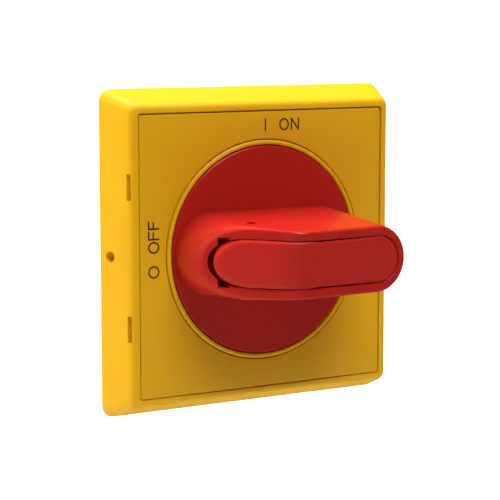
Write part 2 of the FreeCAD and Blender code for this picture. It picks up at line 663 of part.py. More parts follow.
def latch_notches():
    """The two small square notches beside the lifting end of the latch."""
    left = LATCH_LEFT + NOTCH_SETBACK
    top = top_height(left + NOTCH_SIZE) + OVERCUT
    bottom = top_height(left) - NOTCH_DEPTH
    middle = LATCH_HALF_WIDTH + LATCH_SIDE_GAP + NOTCH_OUTSET - NOTCH_SIZE / 2
    notches = []
    for side in (-1, 1):
        low_z = side * middle - NOTCH_SIZE / 2
        corner = V(left, y_at(top), low_z)
        notches.append(Part.makeBox(NOTCH_SIZE, top - bottom, NOTCH_SIZE, corner))
    return notches


def drive_hub():
    """The hub behind the handle, with the square socket for the switch's shaft."""
    hub = square_block(SHANK_SIDE, SHANK_CORNER, SHANK_FRONT_Y, HUB_HEAD_Y + OVERCUT)
    hub = hub.fuse(rod(HUB_HEAD_R, 0, 0, HUB_HEAD_Y, HUB_REAR_Y))
    mouth = Part.makeLoft(
        [
            rounded_square(SOCKET_SIDE, SOCKET_CORNER, HUB_REAR_Y - SOCKET_CHAMFER),
            rounded_square(SOCKET_SIDE + 2 * SOCKET_CHAMFER, SOCKET_CORNER, HUB_REAR_Y),
        ],
        True,
        True,
    )
    hub = hub.cut(square_block(SOCKET_SIDE, SOCKET_CORNER, SOCKET_FLOOR_Y, HUB_REAR_Y)).cut(mouth)
    hub = hub.cut(rod(HUB_SCREW_R + PART_CLEARANCE, 0, 0, SHANK_FRONT_Y, SOCKET_FLOOR_Y))
    seat_x = SOCKET_SIDE / 2 + CATCH_NOSE_SEAT
    start = V(0, CATCH_Y, 0)
    hub = hub.cut(Part.makeCylinder(CATCH_NOSE_R + CATCH_GAP, HUB_HEAD_R, start, V(1, 0, 0)))
    start = V(seat_x, CATCH_Y, 0)
    hub = hub.cut(Part.makeCylinder(CATCH_HEAD_R + CATCH_GAP, HUB_HEAD_R, start, V(1, 0, 0)))
    return hub.removeSplitter()


def hub_screw():
    """The screw that holds the drive hub in the handle."""
    head_y = SOCKET_FLOOR_Y + HUB_SCREW_HEAD
    length = HUB_SCREW_LENGTH + HUB_SCREW_HEAD
    return screw(0, 0, head_y, -1, HUB_SCREW_HEAD_R, HUB_SCREW_HEAD, HUB_SCREW_R, length)


def catch_x():
    """X of the catch head's inner face at rest."""
    return SOCKET_SIDE / 2 + CATCH_NOSE_SEAT + CATCH_GAP


def interlock_catch():
    """The small plunger that holds the switch's shaft in the socket."""
    axis = V(1, 0, 0)
    nose_x = SOCKET_SIDE / 2 - CATCH_REACH
    nose = Part.makeCylinder(CATCH_NOSE_R, catch_x() - nose_x, V(nose_x, CATCH_Y, 0), axis)
    head = Part.makeCylinder(CATCH_HEAD_R, CATCH_HEAD_LENGTH, V(catch_x(), CATCH_Y, 0), axis)
    nose = round_edges(nose, CATCH_NOSE_R / 2, lambda edge: abs(edge.BoundBox.XMax - nose_x) < SAME)
    return nose.fuse(head)


def catch_spring():
    """The spring behind the interlock catch."""
    spring = helix_spring(CATCH_SPRING_R, CATCH_SPRING_WIRE, CATCH_SPRING_LENGTH, CATCH_SPRING_TURNS)
    spring.rotate(V(0, 0, 0), V(0, 1, 0), 90)
    spring.translate(V(catch_x() + CATCH_HEAD_LENGTH + STACK_GAP / 2, CATCH_Y, 0))
    return spring


def catch_plug():
    """The plug that closes the catch's bore, round like the hub outside."""
    start_x = catch_x() + CATCH_HEAD_LENGTH + CATCH_SPRING_LENGTH + STACK_GAP
    plug = Part.makeCylinder(CATCH_HEAD_R + CATCH_GAP / 2, HUB_HEAD_R, V(start_x, CATCH_Y, 0), V(1, 0, 0))
    return plug.common(rod(HUB_HEAD_R, 0, 0, HUB_HEAD_Y, HUB_REAR_Y))


def circlip():
    """The open ring that keeps the handle in the base."""
    inner_r = SPIGOT_R - CIRCLIP_GROOVE_DEPTH + BEARING_GAP
    ring = tube(WASHER_R, inner_r, CIRCLIP_FRONT_Y, CIRCLIP_FRONT_Y + CIRCLIP_THICKNESS)
    mouth = Part.makeBox(
        CIRCLIP_MOUTH,
        2 * CIRCLIP_THICKNESS,
        WASHER_R + OVERCUT,
        V(-CIRCLIP_MOUTH / 2, CIRCLIP_FRONT_Y - CIRCLIP_THICKNESS / 2, 0),
    )
    return ring.cut(mouth)


def thrust_washer():
    """The washer between the base's collar and the circlip."""
    start = COLLAR_LENGTH + STACK_GAP
    return tube(WASHER_R, SPIGOT_R + PART_CLEARANCE, start, start + WASHER_THICKNESS)


def spring_washer():
    """The conical washer that takes up the handle's end play."""
    inner_r, outer_r = SPIGOT_R + PART_CLEARANCE, WASHER_R
    low_y, rise = SPRING_WASHER_Y, SPRING_WASHER_RISE
    outline = [
        V(inner_r, low_y + rise, 0),
        V(outer_r, low_y, 0),
        V(outer_r, low_y + SPRING_WASHER_THICKNESS, 0),
        V(inner_r, low_y + rise + SPRING_WASHER_THICKNESS, 0),
    ]
    section = Part.Face(Part.makePolygon(outline + outline[:1]))
    return section.revolve(V(0, 0, 0), V(0, 1, 0), 360)


# ---- lock bolt ----------------------------------------------------------
def lock_bolt():
    """The bolt that locks the handle when the latch is lifted."""
    top = HEEL_UNDERSIDE - BOLT_TOP_GAP
    stem = rod(BOLT_R, BOLT_X, 0, y_at(top - BOLT_R), BOLT_TIP_Y)
    crown = Part.makeSphere(BOLT_R, V(BOLT_X, y_at(top - BOLT_R), 0))
    collar_top = BOLT_COLLAR_HEIGHT + BOLT_COLLAR_THICKNESS
    collar = rod(BOLT_COLLAR_R, BOLT_X, 0, y_at(collar_top), y_at(BOLT_COLLAR_HEIGHT))
    return stem.fuse(crown).fuse(collar).removeSplitter()


def bolt_spring():
    """The return spring between the bolt's collar and the handle."""
    length = BOLT_COLLAR_HEIGHT - BOLT_SEAT_HEIGHT - STACK_GAP
    radius = BOLT_R + BOLT_SPRING_STEP
    spring = helix_spring(radius, BOLT_SPRING_WIRE, length, BOLT_SPRING_TURNS)
    spring.rotate(V(0, 0, 0), V(1, 0, 0), 90)
    spring.translate(V(BOLT_X, y_at(BOLT_SEAT_HEIGHT) - STACK_GAP / 2, 0))
    return spring


def bolt_bush():
    """The brass bush that guides the bolt in the disc."""
    inner_r = BOLT_R + BOLT_GAP
    return tube(inner_r + BUSH_WALL, inner_r, DISC_REAR_Y - BUSH_LENGTH, DISC_REAR_Y, x=BOLT_X)


# ---- padlock latch ------------------------------------------------------
def latch_plate():
    """The latch's face: it follows the grip's ramp, ridge and top."""
    slab = side_slab(front_surface(0, -WIDE, WIDE, 0), WIDE)
    plate = latch_column(0).common(round_edges(slab, RIDGE_ROUND, is_ridge))
    under = side_slab(front_surface(LATCH_PLATE, -WIDE, WIDE, -OVERCUT), WIDE)
    heel_corners = [(PIVOT_X, HEEL_UNDERSIDE), (PIVOT_X, WIDE), (WIDE, WIDE), (WIDE, HEEL_UNDERSIDE)]
    heel = plate.common(side_slab(heel_corners, WIDE))
    latch = plate.cut(under).cut(latch_end_bevel()).fuse(heel)
    return latch.common(pivot_cylinder(latch_sweep_r(), WIDE))


def latch_end_bevel():
    """The room cut away along the lower edge of the latch's lifting end."""
    low = front_surface(LATCH_PLATE, LATCH_LEFT, WIDE, 0)[1][1]
    reach = 2 * LATCH_END_BEVEL
    start = LATCH_LEFT - LATCH_END_BEVEL
    corners_at = [(start, low + reach), (start, low - reach), (start + 2 * reach, low - reach)]
    return side_slab(corners_at, WIDE)


def latch_tongue():
    """The tongue under the latch's face, with the window for padlock shackles."""
    body = side_slab(
        front_surface(LATCH_PLATE / 2, -WIDE, TONGUE_RIGHT, TONGUE_BOTTOM), TONGUE_HALF_WIDTH
    ).common(pivot_cylinder(tongue_radius(), TONGUE_HALF_WIDTH))
    window_right = TONGUE_RIGHT - TONGUE_RIGHT_WALL
    window = side_slab(
        front_surface(LATCH_PLATE, -WIDE, window_right, TONGUE_BOTTOM + TONGUE_BAR),
        TONGUE_HALF_WIDTH + OVERCUT,
    ).common(pivot_cylinder(tongue_radius() - TONGUE_WALL, TONGUE_HALF_WIDTH + OVERCUT))
    return body.cut(window)


def padlock_latch():
    """The latch that is lifted to take padlocks, in one moulding."""
    latch = latch_plate().fuse(latch_tongue())
    latch = latch.fuse(pivot_cylinder(PIVOT_BOSS_R, LATCH_HALF_WIDTH - PIVOT_BOSS_INSET))
    latch = latch.fuse(pivot_cylinder(PIVOT_R, LATCH_HALF_WIDTH + PIVOT_LENGTH))
    return latch.removeSplitter()


NODES = {
    "cover_frame": cover_frame,
    "label_plate": label_plate,
    "mounting_base": mounting_base,
    "door_gasket": gasket_ring,
    "disc_seal": disc_seal,
    "shaft_seal": shaft_seal,
    "index_ring": index_ring,
    "index_screws": index_screws,
    "cover_screws": cover_screws,
    "knob": knob,
    "drive_hub": drive_hub,
    "hub_screw": hub_screw,
    "interlock_catch": interlock_catch,
    "catch_spring": catch_spring,
    "catch_plug": catch_plug,
    "circlip": circlip,
    "thrust_washer": thrust_washer,
    "spring_washer": spring_washer,
    "lock_bolt": lock_bolt,
    "bolt_spring": bolt_spring,
    "bolt_bush": bolt_bush,
    "padlock_latch": padlock_latch,
}

os.makedirs("parts", exist_ok=True)
for name, make in NODES.items():
    shape = make()
    valid = shape.isValid()
    print(name, "solids", len(shape.Solids), "volume", round(shape.Volume, 2), "valid", valid)
    shape.exportStep(os.path.join("parts", name + ".step"))
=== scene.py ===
import json
import math

import bmesh
import bpy
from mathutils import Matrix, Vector


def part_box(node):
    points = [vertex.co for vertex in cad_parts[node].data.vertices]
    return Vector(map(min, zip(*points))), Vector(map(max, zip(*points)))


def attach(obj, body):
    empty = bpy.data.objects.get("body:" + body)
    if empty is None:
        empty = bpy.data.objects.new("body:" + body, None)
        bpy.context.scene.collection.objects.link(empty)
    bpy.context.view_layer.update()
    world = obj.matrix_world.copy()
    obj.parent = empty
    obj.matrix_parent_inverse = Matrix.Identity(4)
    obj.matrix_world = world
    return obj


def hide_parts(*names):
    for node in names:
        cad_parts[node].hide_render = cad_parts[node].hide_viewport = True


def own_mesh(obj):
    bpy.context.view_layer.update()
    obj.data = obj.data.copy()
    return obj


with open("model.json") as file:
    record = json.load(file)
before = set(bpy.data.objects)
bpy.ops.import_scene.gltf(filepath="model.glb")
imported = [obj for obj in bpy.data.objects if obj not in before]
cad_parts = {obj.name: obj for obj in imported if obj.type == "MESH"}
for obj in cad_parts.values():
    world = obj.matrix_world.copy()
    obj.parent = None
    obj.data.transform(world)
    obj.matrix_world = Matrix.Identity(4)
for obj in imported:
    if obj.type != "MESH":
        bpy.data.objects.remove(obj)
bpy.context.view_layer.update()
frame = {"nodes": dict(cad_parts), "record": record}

# ---- sizes -------------------------------------------------------------
# Millimetres, turned into metres where a mesh is made. X is right, Z is up, and a
# height is measured outwards from the label's front face, along -Y.
MM = 0.001


def limits(node):
    """A node's lowest and highest corners in millimetres."""
    low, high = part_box(node)
    return [value / MM for value in low], [value / MM for value in high]


label_low, label_high = limits("label_plate")
cover_high = limits("cover_frame")[1]
knob_high = limits("knob")[1]
JOINTS = {joint["name"]: joint for joint in frame["record"]["behaviour"]["joints"]}
PIVOT_X = JOINTS["latch_swing"]["pos_m"][0] / MM
FACE_Y = label_low[1]
PIVOT_HEIGHT = FACE_Y - JOINTS["latch_swing"]["pos_m"][1] / MM

# cover and label
COVER_DEPTH = cover_high[1] - FACE_Y
COVER_REAR_HALF = cover_high[0]
COVER_DRAFT = 0.3659             # widening of the cover per millimetre of depth
COVER_FRONT_HALF = COVER_REAR_HALF - COVER_DRAFT * COVER_DEPTH
COVER_REAR_CORNER = 2.4
COVER_FRONT_CORNER = 1.7
COVER_EDGE = 1.2
COVER_EDGE_CORNER = 0.6          # corner radius inside that edge, as a share of the outer one
COVER_WALL = 2.3
COVER_FRONT_WALL = 2.2
COVER_INSIDE = (0.9, 1.2)        # corner radii inside, front and rear
PRY_SLOT = (0.9, 5.1, 1.7)       # width, length and depth
PRY_SLOT_Z = 13.85
PRY_SLOT_SETBACK = 0.95
SIDE_HOLE_R = 1.05
SIDE_HOLE_SETBACK = 5.6
LABEL_HALF = label_high[0]
LABEL_DEPTH = label_high[1] - FACE_Y
LABEL_CORNER = 0.5
LABEL_GAP = 0.23                 # round the label, before it is set a little to one side
LABEL_OFFSET = (-0.09, -0.05)    # of its outline in X and Z
FINE_EDGE = 0.12                 # rounding of a crisp moulded edge

# disc and lip
DISC_R = knob_high[2]
DISC_PROUD = 0.3
DISC_THICKNESS = 2.9
DISC_EDGE = 0.4
DISC_REAR_EDGE = 0.2
DISC_FLAT_INSET = 0.1            # of the disc's flat face, inside its rounded edge
LIP_GAP = 0.15                   # between the disc and the lip
LIP_WALL = 0.95
LIP_INNER_R = DISC_R + LIP_GAP
LIP_OUTER_R = LIP_INNER_R + LIP_WALL
LIP_PROUD = 0.3
LIP_EDGE = 0.45
LIP_CLEARANCE = 0.21             # between the lip and the label

# grip and spigot
GRIP_INSETS = (0.45, 0.5)        # of its left and right ends, from the disc's edge
GRIP_LEFT = GRIP_INSETS[0] - DISC_R
GRIP_RIGHT = DISC_R - GRIP_INSETS[1]
GRIP_HALF = 8.25
GRIP_LEFT_DRAFT = 0.055
GRIP_RIGHT_DRAFT = 0.0964
GRIP_SIDE_DRAFT = 0.0758
RIDGE_X = -6.5
RIDGE_HEIGHT = 24.35
RAMP_SLOPE = 1.168
TOP_SLOPE = -0.053
RIDGE_SOFTNESS = 0.75
WAIST_STEP = (-3.9, -2.3)        # X range over which latch and pocket step in
EDGE_ON_SIDE = 0.85              # reach of the grip's rounded rim, down its side
EDGE_ON_FRONT = 0.75             # and in over its front
EDGE_LIMIT = 0.72                # most of a rail's width that the rim takes
SOFT_END = (9.0, 19.0)           # range of -X over which the rim turns soft
SOFT_END_REACH = 4.2             # added there down the side
SOFT_END_SPREAD = 0.5            # and in over the front, as a share
SPIGOT_R = 8.0
SPIGOT_CHAMFER = (0.6, 0.5)      # in and along
SHANK_BORE = (4.46, 2.1)         # half side, and reach in front of the door's plane
TOOL_HOLE = (-10.5, 12.8, 1.0)   # x, height and radius

# latch and its pocket
LATCH_INSET = 2.75               # of the latch's left end, from the grip's
LATCH_LEFT = GRIP_LEFT + LATCH_INSET
LATCH_RIGHT = 16.55
LATCH_HALF = 4.55                # on the ramp
LATCH_WAIST = 4.33               # just past the ridge
LATCH_HEEL = 4.5                 # at the far end
LATCH_PLATE = 2.4
LATCH_UNDER_GAP = 0.3
LATCH_EDGE = 0.7                 # reach of the latch's rounded edge past the ridge
LATCH_RAMP_EDGE = 1.1            # the same on the ramp
LATCH_EDGE_RISE = (4.0, 9.0)     # range of -X between the two
LATCH_PROUD = 0.12               # height of the latch above the rails past the ridge
LATCH_RAMP_PROUD = 0.85          # the same on the ramp
LATCH_PROUD_RISE = (6.3, 10.5)   # range of -X between the two
LATCH_CROWN = (0.02, 0.03)       # rise of the face, half way in and at its middle line
LATCH_CROWN_SHARE = 0.55         # of the face's half width, for the first of these
POCKET_HALF = 4.62               # on the ramp
POCKET_FLAT_HALF = 4.55          # past the ridge
POCKET_GAP = 0.18
POCKET_END_GAP = 0.75
POCKET_LIP = 0.25                # width of the pocket's rounded edge
POCKET_LIP_DEPTH = 0.3
POCKET_DROP = LATCH_PLATE + LATCH_UNDER_GAP
RAIL_DISH = 0.15                 # fall of the rails towards the pocket
TONGUE_HALF = 2.9
TONGUE_R = 22.85
TONGUE_WALL = 1.85
TONGUE_RIGHT = 1.0
TONGUE_RIGHT_WALL = 3.6
TONGUE_BOTTOM = 4.3
TONGUE_TOP = 22.4
TONGUE_CURVE_TOP = 12.4          # where its curved outer wall turns to the latch's face
TONGUE_SHOULDER = (-6.0, 22.2)   # x and height where it meets the face
TONGUE_BAR = 2.0
TONGUE_GAP = 0.3
SLOT_CURVE_TOP = 13.0            # the same places of the tongue's slot in the grip
SLOT_SHOULDER = (-7.5, 22.4)
WINDOW_CURVE_TOP = 13.8          # and of the tongue's window
WINDOW_SHOULDER_X = -7.4
HEEL_UNDERSIDE = 20.6
HEEL_ROOM = (4.9, 14.6, 21.4)    # left end, floor height and top
PIVOT_R = 1.3
PIVOT_BOSS_R = 2.0
PIVOT_BOSS_HALF = 3.4
TRUNNION_HALF = 5.4
NOTCH = (-17.2, 1.8, 3.9, 3.6)   # left end, side, distance from the middle and depth
BOLT_SEAT = (12.0, 3.0, 10.0)    # x, radius and floor height
BOLT_HOLE_R = 1.65

# booleans
SLIP_GAP = 0.05                  # round a piece that turns or sits in a bore
OVERCUT = 1.0                    # of a tool, past the surface that it cuts
OVERLAP = 0.5                    # of a tool, into the room that another cuts
HAIR = 0.001                     # keeps a tool's wall off the pocket's wall

# points round the outlines
SIDE_STEPS = 40
CORNER_STEPS = 8
END_STEPS = 64
STRAIGHT_STEPS = 48
EDGE_STEPS = 7
FINE_STEPS = 3
ARC_STEPS = 24
ROD_STEPS = 32
RIM_TRIES = 40                   # halvings that find the rim's height


# ---- mesh helpers --------------------------------------------------------
def at(x, height, z):
    """A mesh point in metres from millimetres and a height above the label's face."""
    return Vector((x * MM, (FACE_Y - height) * MM, z * MM))


def new_object(name, mesh, material):
    """A finished mesh as an object of the scene, with one material."""
    piece = bpy.data.objects.new(name, mesh)
    bpy.context.scene.collection.objects.link(piece)
    mesh.materials.clear()
    mesh.materials.append(material)
    return piece


def mesh_from_bmesh(name, bm, smooth_angle=38.0):
    """A mesh with outward normals, smooth except across edges sharper than the angle."""
    bmesh.ops.remove_doubles(bm, verts=bm.verts, dist=1e-7)
    bmesh.ops.dissolve_degenerate(bm, edges=bm.edges, dist=1e-8)
    bmesh.ops.recalc_face_normals(bm, faces=bm.faces)
    limit = math.radians(smooth_angle)
    for face in bm.faces:
        face.smooth = True
    for edge in bm.edges:
        edge.smooth = not (edge.is_manifold and edge.calc_face_angle(0.0) > limit)
    mesh = bpy.data.meshes.new(name)
    bm.to_mesh(mesh)
    bm.free()
    return mesh


def add_skin(bm, rings, closed=False):
    """Join rings of points by quads in a bmesh; open ends are capped."""
    rows = [[bm.verts.new(point) for point in ring] for ring in rings]
    pairs = list(zip(rows, rows[1:]))
    if closed:
        pairs.append((rows[-1], rows[0]))
    for row, after in pairs:
        count = len(row)
        for i in range(count):
            j = (i + 1) % count
            bm.faces.new((row[i], row[j], after[j], after[i]))
    if not closed:
        bm.faces.new(rows[0])
        bm.faces.new(rows[-1])


def skin(rings, closed=False):
    """A new bmesh with such a skin."""
    bm = bmesh.new()
    add_skin(bm, rings, closed)
    return bm


def round_between(start, corner, end, steps=EDGE_STEPS):
    """Rings that turn from start to end round a sharp corner ring, both ends included."""
    rings = []
    for step in range(steps + 1):
        t = step / steps
        a, b, c = (1 - t) ** 2, 2 * t * (1 - t), t * t
        rings.append([a * p + b * q + c * r for p, q, r in zip(start, corner, end)])
    return rings


def square_ring(half, corner, height):
    """Points of a square with round corners, spread evenly as seen from the centre."""
    points = []
    flat = half - corner
    reach = math.atan2(flat, half)
    for turn in range(4):
        angle = math.radians(90 * turn)
        local = []
        for step in range(SIDE_STEPS):
            direction = -reach + 2 * reach * step / SIDE_STEPS
            local.append((half, half * math.tan(direction)))
        for step in range(CORNER_STEPS):
            bend = math.radians(90) * step / CORNER_STEPS
            local.append((flat + corner * math.cos(bend), flat + corner * math.sin(bend)))
        for x, z in local:
            points.append(
                at(
                    x * math.cos(angle) - z * math.sin(angle),
                    height,
                    x * math.sin(angle) + z * math.cos(angle),
                )
            )
    return points


def circle_ring(radius, height, like):
    """A circle whose points lie in the same directions as those of another ring."""
    points = []
    for point in like:
        angle = math.atan2(point.z, point.x)
        points.append(at(radius * math.cos(angle), height, radius * math.sin(angle)))
    return points


def stadium_outline():
    """Directions round a slot shape: (which end, cosine, sine, share along the side)."""
    outline = []
    for step in range(END_STEPS):
        angle = math.radians(-90 + 180 * step / END_STEPS)
        outline.append((1, math.cos(angle), math.sin(angle), 0.0))
    for step in range(STRAIGHT_STEPS):
        outline.append((0, 0.0, 1.0, step / STRAIGHT_STEPS))
    for step in range(END_STEPS):
        angle = math.radians(90 + 180 * step / END_STEPS)
        outline.append((-1, math.cos(angle), math.sin(angle), 0.0))
    for step in range(STRAIGHT_STEPS):
        outline.append((0, 0.0, -1.0, 1 - step / STRAIGHT_STEPS))
    return outline


STADIUM = stadium_outline()


def stadium_point(direction, left, right, half):
    """The (x, z) point of a slot shape in one of the outline's directions."""
    end, cosine, sine, share = direction
    near, far = left + half, right - half
    if end > 0:
        return far + half * cosine, half * sine
    if end < 0:
        return near + half * cosine, half * sine
    return far + (near - far) * share, half * sine


def front_height(x, drop=0.0):
    """Height of the grip's ramp, soft ridge and flat top, or of the surface this far below."""
    ramp = RIDGE_HEIGHT + RAMP_SLOPE * (x - RIDGE_X) - drop * math.hypot(1, RAMP_SLOPE)
    top = RIDGE_HEIGHT + TOP_SLOPE * (x - RIDGE_X) - drop
    half_gap = (ramp - top) / 2
    return (ramp + top) / 2 - math.hypot(half_gap, RIDGE_SOFTNESS)


def ease(value, start, end):
    """0 before start, 1 after end, and smooth between."""
    t = min(max((value - start) / (end - start), 0.0), 1.0)
    return t * t * (3 - 2 * t)


def temporary(bm):
    """A temporary object made from a bmesh: a boolean's body or tool, or a pattern."""
    bmesh.ops.recalc_face_normals(bm, faces=bm.faces)
    mesh = bpy.data.meshes.new("temporary")
    bm.to_mesh(mesh)
    bm.free()
    piece = bpy.data.objects.new("temporary", mesh)
    bpy.context.scene.collection.objects.link(piece)
    return piece


def combine(body, tools, operation):
    """Apply exact booleans of the tools to a bmesh and return the new bmesh."""
    base = temporary(body)
    for tool in tools:
        change = base.modifiers.new("combine", "BOOLEAN")
        change.operation = operation
        change.solver = "EXACT"
        change.object = tool
    graph = bpy.context.evaluated_depsgraph_get()
    graph.update()
    result = bmesh.new()
    result.from_mesh(base.evaluated_get(graph).to_mesh())
    for used in [base, *tools]:
        mesh = used.data
        bpy.data.objects.remove(used)
        bpy.data.meshes.remove(mesh)
    return result


def box_tool(low, high):
    """A box between two (x, height, z) corners, as a boolean's tool."""
    bm = bmesh.new()
    corners = [at(x, h, z) for x in (low[0], high[0]) for h in (low[1], high[1]) for z in (low[2], high[2])]
    verts = [bm.verts.new(corner) for corner in corners]
    for quad in ((0, 1, 3, 2), (4, 6, 7, 5), (0, 4, 5, 1), (2, 3, 7, 6), (0, 2, 6, 4), (1, 5, 7, 3)):
        bm.faces.new([verts[i] for i in quad])
    return temporary(bm)


def rod_tool(start, end, radius):
    """A cylinder between two (x, height, z) points, as a boolean's tool."""
    first, last = at(*start), at(*end)
    axis = (last - first).normalized()
    side = axis.orthogonal().normalized()
    other = axis.cross(side)
    rings = []
    for centre in (first, last):
        ring = []
        for step in range(ROD_STEPS):
            angle = 2 * math.pi * step / ROD_STEPS
            ring.append(centre + radius * MM * (side * math.cos(angle) + other * math.sin(angle)))
        rings.append(ring)
    return temporary(skin(rings))


def slab(outline, half_width):
    """A bmesh slab across Z with this (x, height) outline."""
    rings = [[at(x, h, side * half_width) for x, h in outline] for side in (-1, 1)]
    return skin(rings)


def swing_arc(radius, top, bottom):
    """(x, height) points left of the latch's pivot, on an arc about it between two heights."""
    start, end = (math.pi + math.asin((PIVOT_HEIGHT - height) / radius) for height in (top, bottom))
    points = []
    for step in range(ARC_STEPS + 1):
        angle = start + (end - start) * step / ARC_STEPS
        points.append((PIVOT_X + radius * math.cos(angle), PIVOT_HEIGHT + radius * math.sin(angle)))
    return points


# ---- cover and label -------------------------------------------------------
def cover_half(depth):
    """Half the cover's side at this depth behind the front face."""
    return COVER_FRONT_HALF + COVER_DRAFT * depth


def cover_corner(depth):
    """The corner radius at this depth."""
    return COVER_FRONT_CORNER + (COVER_REAR_CORNER - COVER_FRONT_CORNER) * depth / COVER_DEPTH


def cover_frame(material):
    """The cover with its sloping sides, soft front edge, label recess and round lip."""
    rear_half, rear_corner = cover_half(COVER_DEPTH), cover_corner(COVER_DEPTH)
    rear = square_ring(rear_half, rear_corner, -COVER_DEPTH)
    rear_side = square_ring(cover_half(COVER_DEPTH - FINE_EDGE), rear_corner, FINE_EDGE - COVER_DEPTH)
    rear_in = square_ring(rear_half - FINE_EDGE, rear_corner, -COVER_DEPTH)
    side_end = square_ring(cover_half(COVER_EDGE), cover_corner(COVER_EDGE), -COVER_EDGE)
    edge = square_ring(COVER_FRONT_HALF, COVER_FRONT_CORNER, 0)
    front = square_ring(COVER_FRONT_HALF - COVER_EDGE, COVER_FRONT_CORNER * COVER_EDGE_CORNER, 0)
    recess_half = LABEL_HALF + LABEL_GAP
    rim = square_ring(recess_half + FINE_EDGE, LABEL_CORNER, 0)
    recess_edge = square_ring(recess_half, LABEL_CORNER, 0)
    recess_top = square_ring(recess_half, LABEL_CORNER, -FINE_EDGE)
    recess_floor = square_ring(recess_half, LABEL_CORNER, -LABEL_DEPTH)
    lip_foot = circle_ring(LIP_OUTER_R, -LABEL_DEPTH, recess_edge)
    lip_side = circle_ring(LIP_OUTER_R, LIP_PROUD - LIP_EDGE, recess_edge)
    lip_outer = circle_ring(LIP_OUTER_R, LIP_PROUD, recess_edge)
    lip_top = circle_ring((LIP_OUTER_R + LIP_INNER_R) / 2, LIP_PROUD, recess_edge)
    lip_inner = circle_ring(LIP_INNER_R, LIP_PROUD, recess_edge)
    lip_drop = circle_ring(LIP_INNER_R, LIP_PROUD - LIP_EDGE, recess_edge)
    lip_rear = circle_ring(LIP_INNER_R, -COVER_FRONT_WALL, recess_edge)
    corner_front, corner_rear = COVER_INSIDE
    inside_front = square_ring(cover_half(COVER_FRONT_WALL) - COVER_WALL, corner_front, -COVER_FRONT_WALL)
    inside_rear = square_ring(rear_half - COVER_WALL, corner_rear, -COVER_DEPTH)
    rings = round_between(rear_in, rear, rear_side, FINE_STEPS)
    rings += round_between(side_end, edge, front)
    rings += round_between(rim, recess_edge, recess_top, FINE_STEPS)
    rings += [recess_floor, lip_foot]
    rings += round_between(lip_side, lip_outer, lip_top, steps=5)
    rings += round_between(lip_top, lip_inner, lip_drop, steps=5)[1:]
    rings += [lip_rear, inside_front, inside_rear]
    body = combine(skin(rings, closed=True), cover_tools(), "DIFFERENCE")
    return new_object("cover_shell", mesh_from_bmesh("cover_shell", body), material)


def cover_tools():
    """Tools for the pry slots and the round holes in both sides."""
    tools = []
    width, length, depth = PRY_SLOT
    for side in (-1, 1):
        outside = side * cover_half(PRY_SLOT_SETBACK)
        for z in (-PRY_SLOT_Z, PRY_SLOT_Z):
            low = (outside - depth, -PRY_SLOT_SETBACK - width / 2, z - length / 2)
            high = (outside + depth, -PRY_SLOT_SETBACK + width / 2, z + length / 2)
            tools.append(box_tool(low, high))
        start = (side * (COVER_REAR_HALF + OVERCUT), -SIDE_HOLE_SETBACK, 0)
        end = (side * (COVER_REAR_HALF - 2 * COVER_WALL), -SIDE_HOLE_SETBACK, 0)
        tools.append(rod_tool(start, end, SIDE_HOLE_R))
    return tools


def label_plate(material):
    """The label's plate, with crisp rounded edges inside and outside."""
    offset = Vector((LABEL_OFFSET[0], 0, LABEL_OFFSET[1])) * MM

    def outline(inset, height):
        return [point + offset for point in square_ring(LABEL_HALF - inset, LABEL_CORNER, height)]

    like = outline(0, 0)
    hole = LIP_OUTER_R + LIP_CLEARANCE
    rings = [outline(0, -LABEL_DEPTH)]
    rings += round_between(outline(0, -FINE_EDGE), like, outline(FINE_EDGE, 0), FINE_STEPS)
    rings += round_between(
        circle_ring(hole + FINE_EDGE, 0, like),
        circle_ring(hole, 0, like),
        circle_ring(hole, -FINE_EDGE, like),
        FINE_STEPS,
    )
    rings.append(circle_ring(hole, -LABEL_DEPTH, like))
    body = skin(rings, closed=True)
    return new_object("label_face", mesh_from_bmesh("label_face", body), material)


# ---- handle ----------------------------------------------------------------
def wall_point(direction, height):
    """A point (x, height, z) on the grip's drafted side wall."""
    x, z = stadium_point(
        direction,
        GRIP_LEFT + GRIP_LEFT_DRAFT * height,
        GRIP_RIGHT - GRIP_RIGHT_DRAFT * height,
        GRIP_HALF - GRIP_SIDE_DRAFT * height,
    )
    return x, height, z


def rim_height(direction):
    """Height at which the side wall meets the front surface in this direction."""
    height = RIDGE_HEIGHT
    for _ in range(RIM_TRIES):
        height = (height + front_height(wall_point(direction, height)[0])) / 2
    return height


def pocket_point(direction, grow):
    """An (x, z) point of the pocket's outline, widened by this much."""
    x, z = stadium_point(
        direction,
        LATCH_LEFT - POCKET_END_GAP - grow,
        LATCH_RIGHT + POCKET_GAP + grow,
        POCKET_HALF + grow,
    )
    narrowed = 1 - (1 - POCKET_FLAT_HALF / POCKET_HALF) * ease(x, *WAIST_STEP)
    return x, z * narrowed


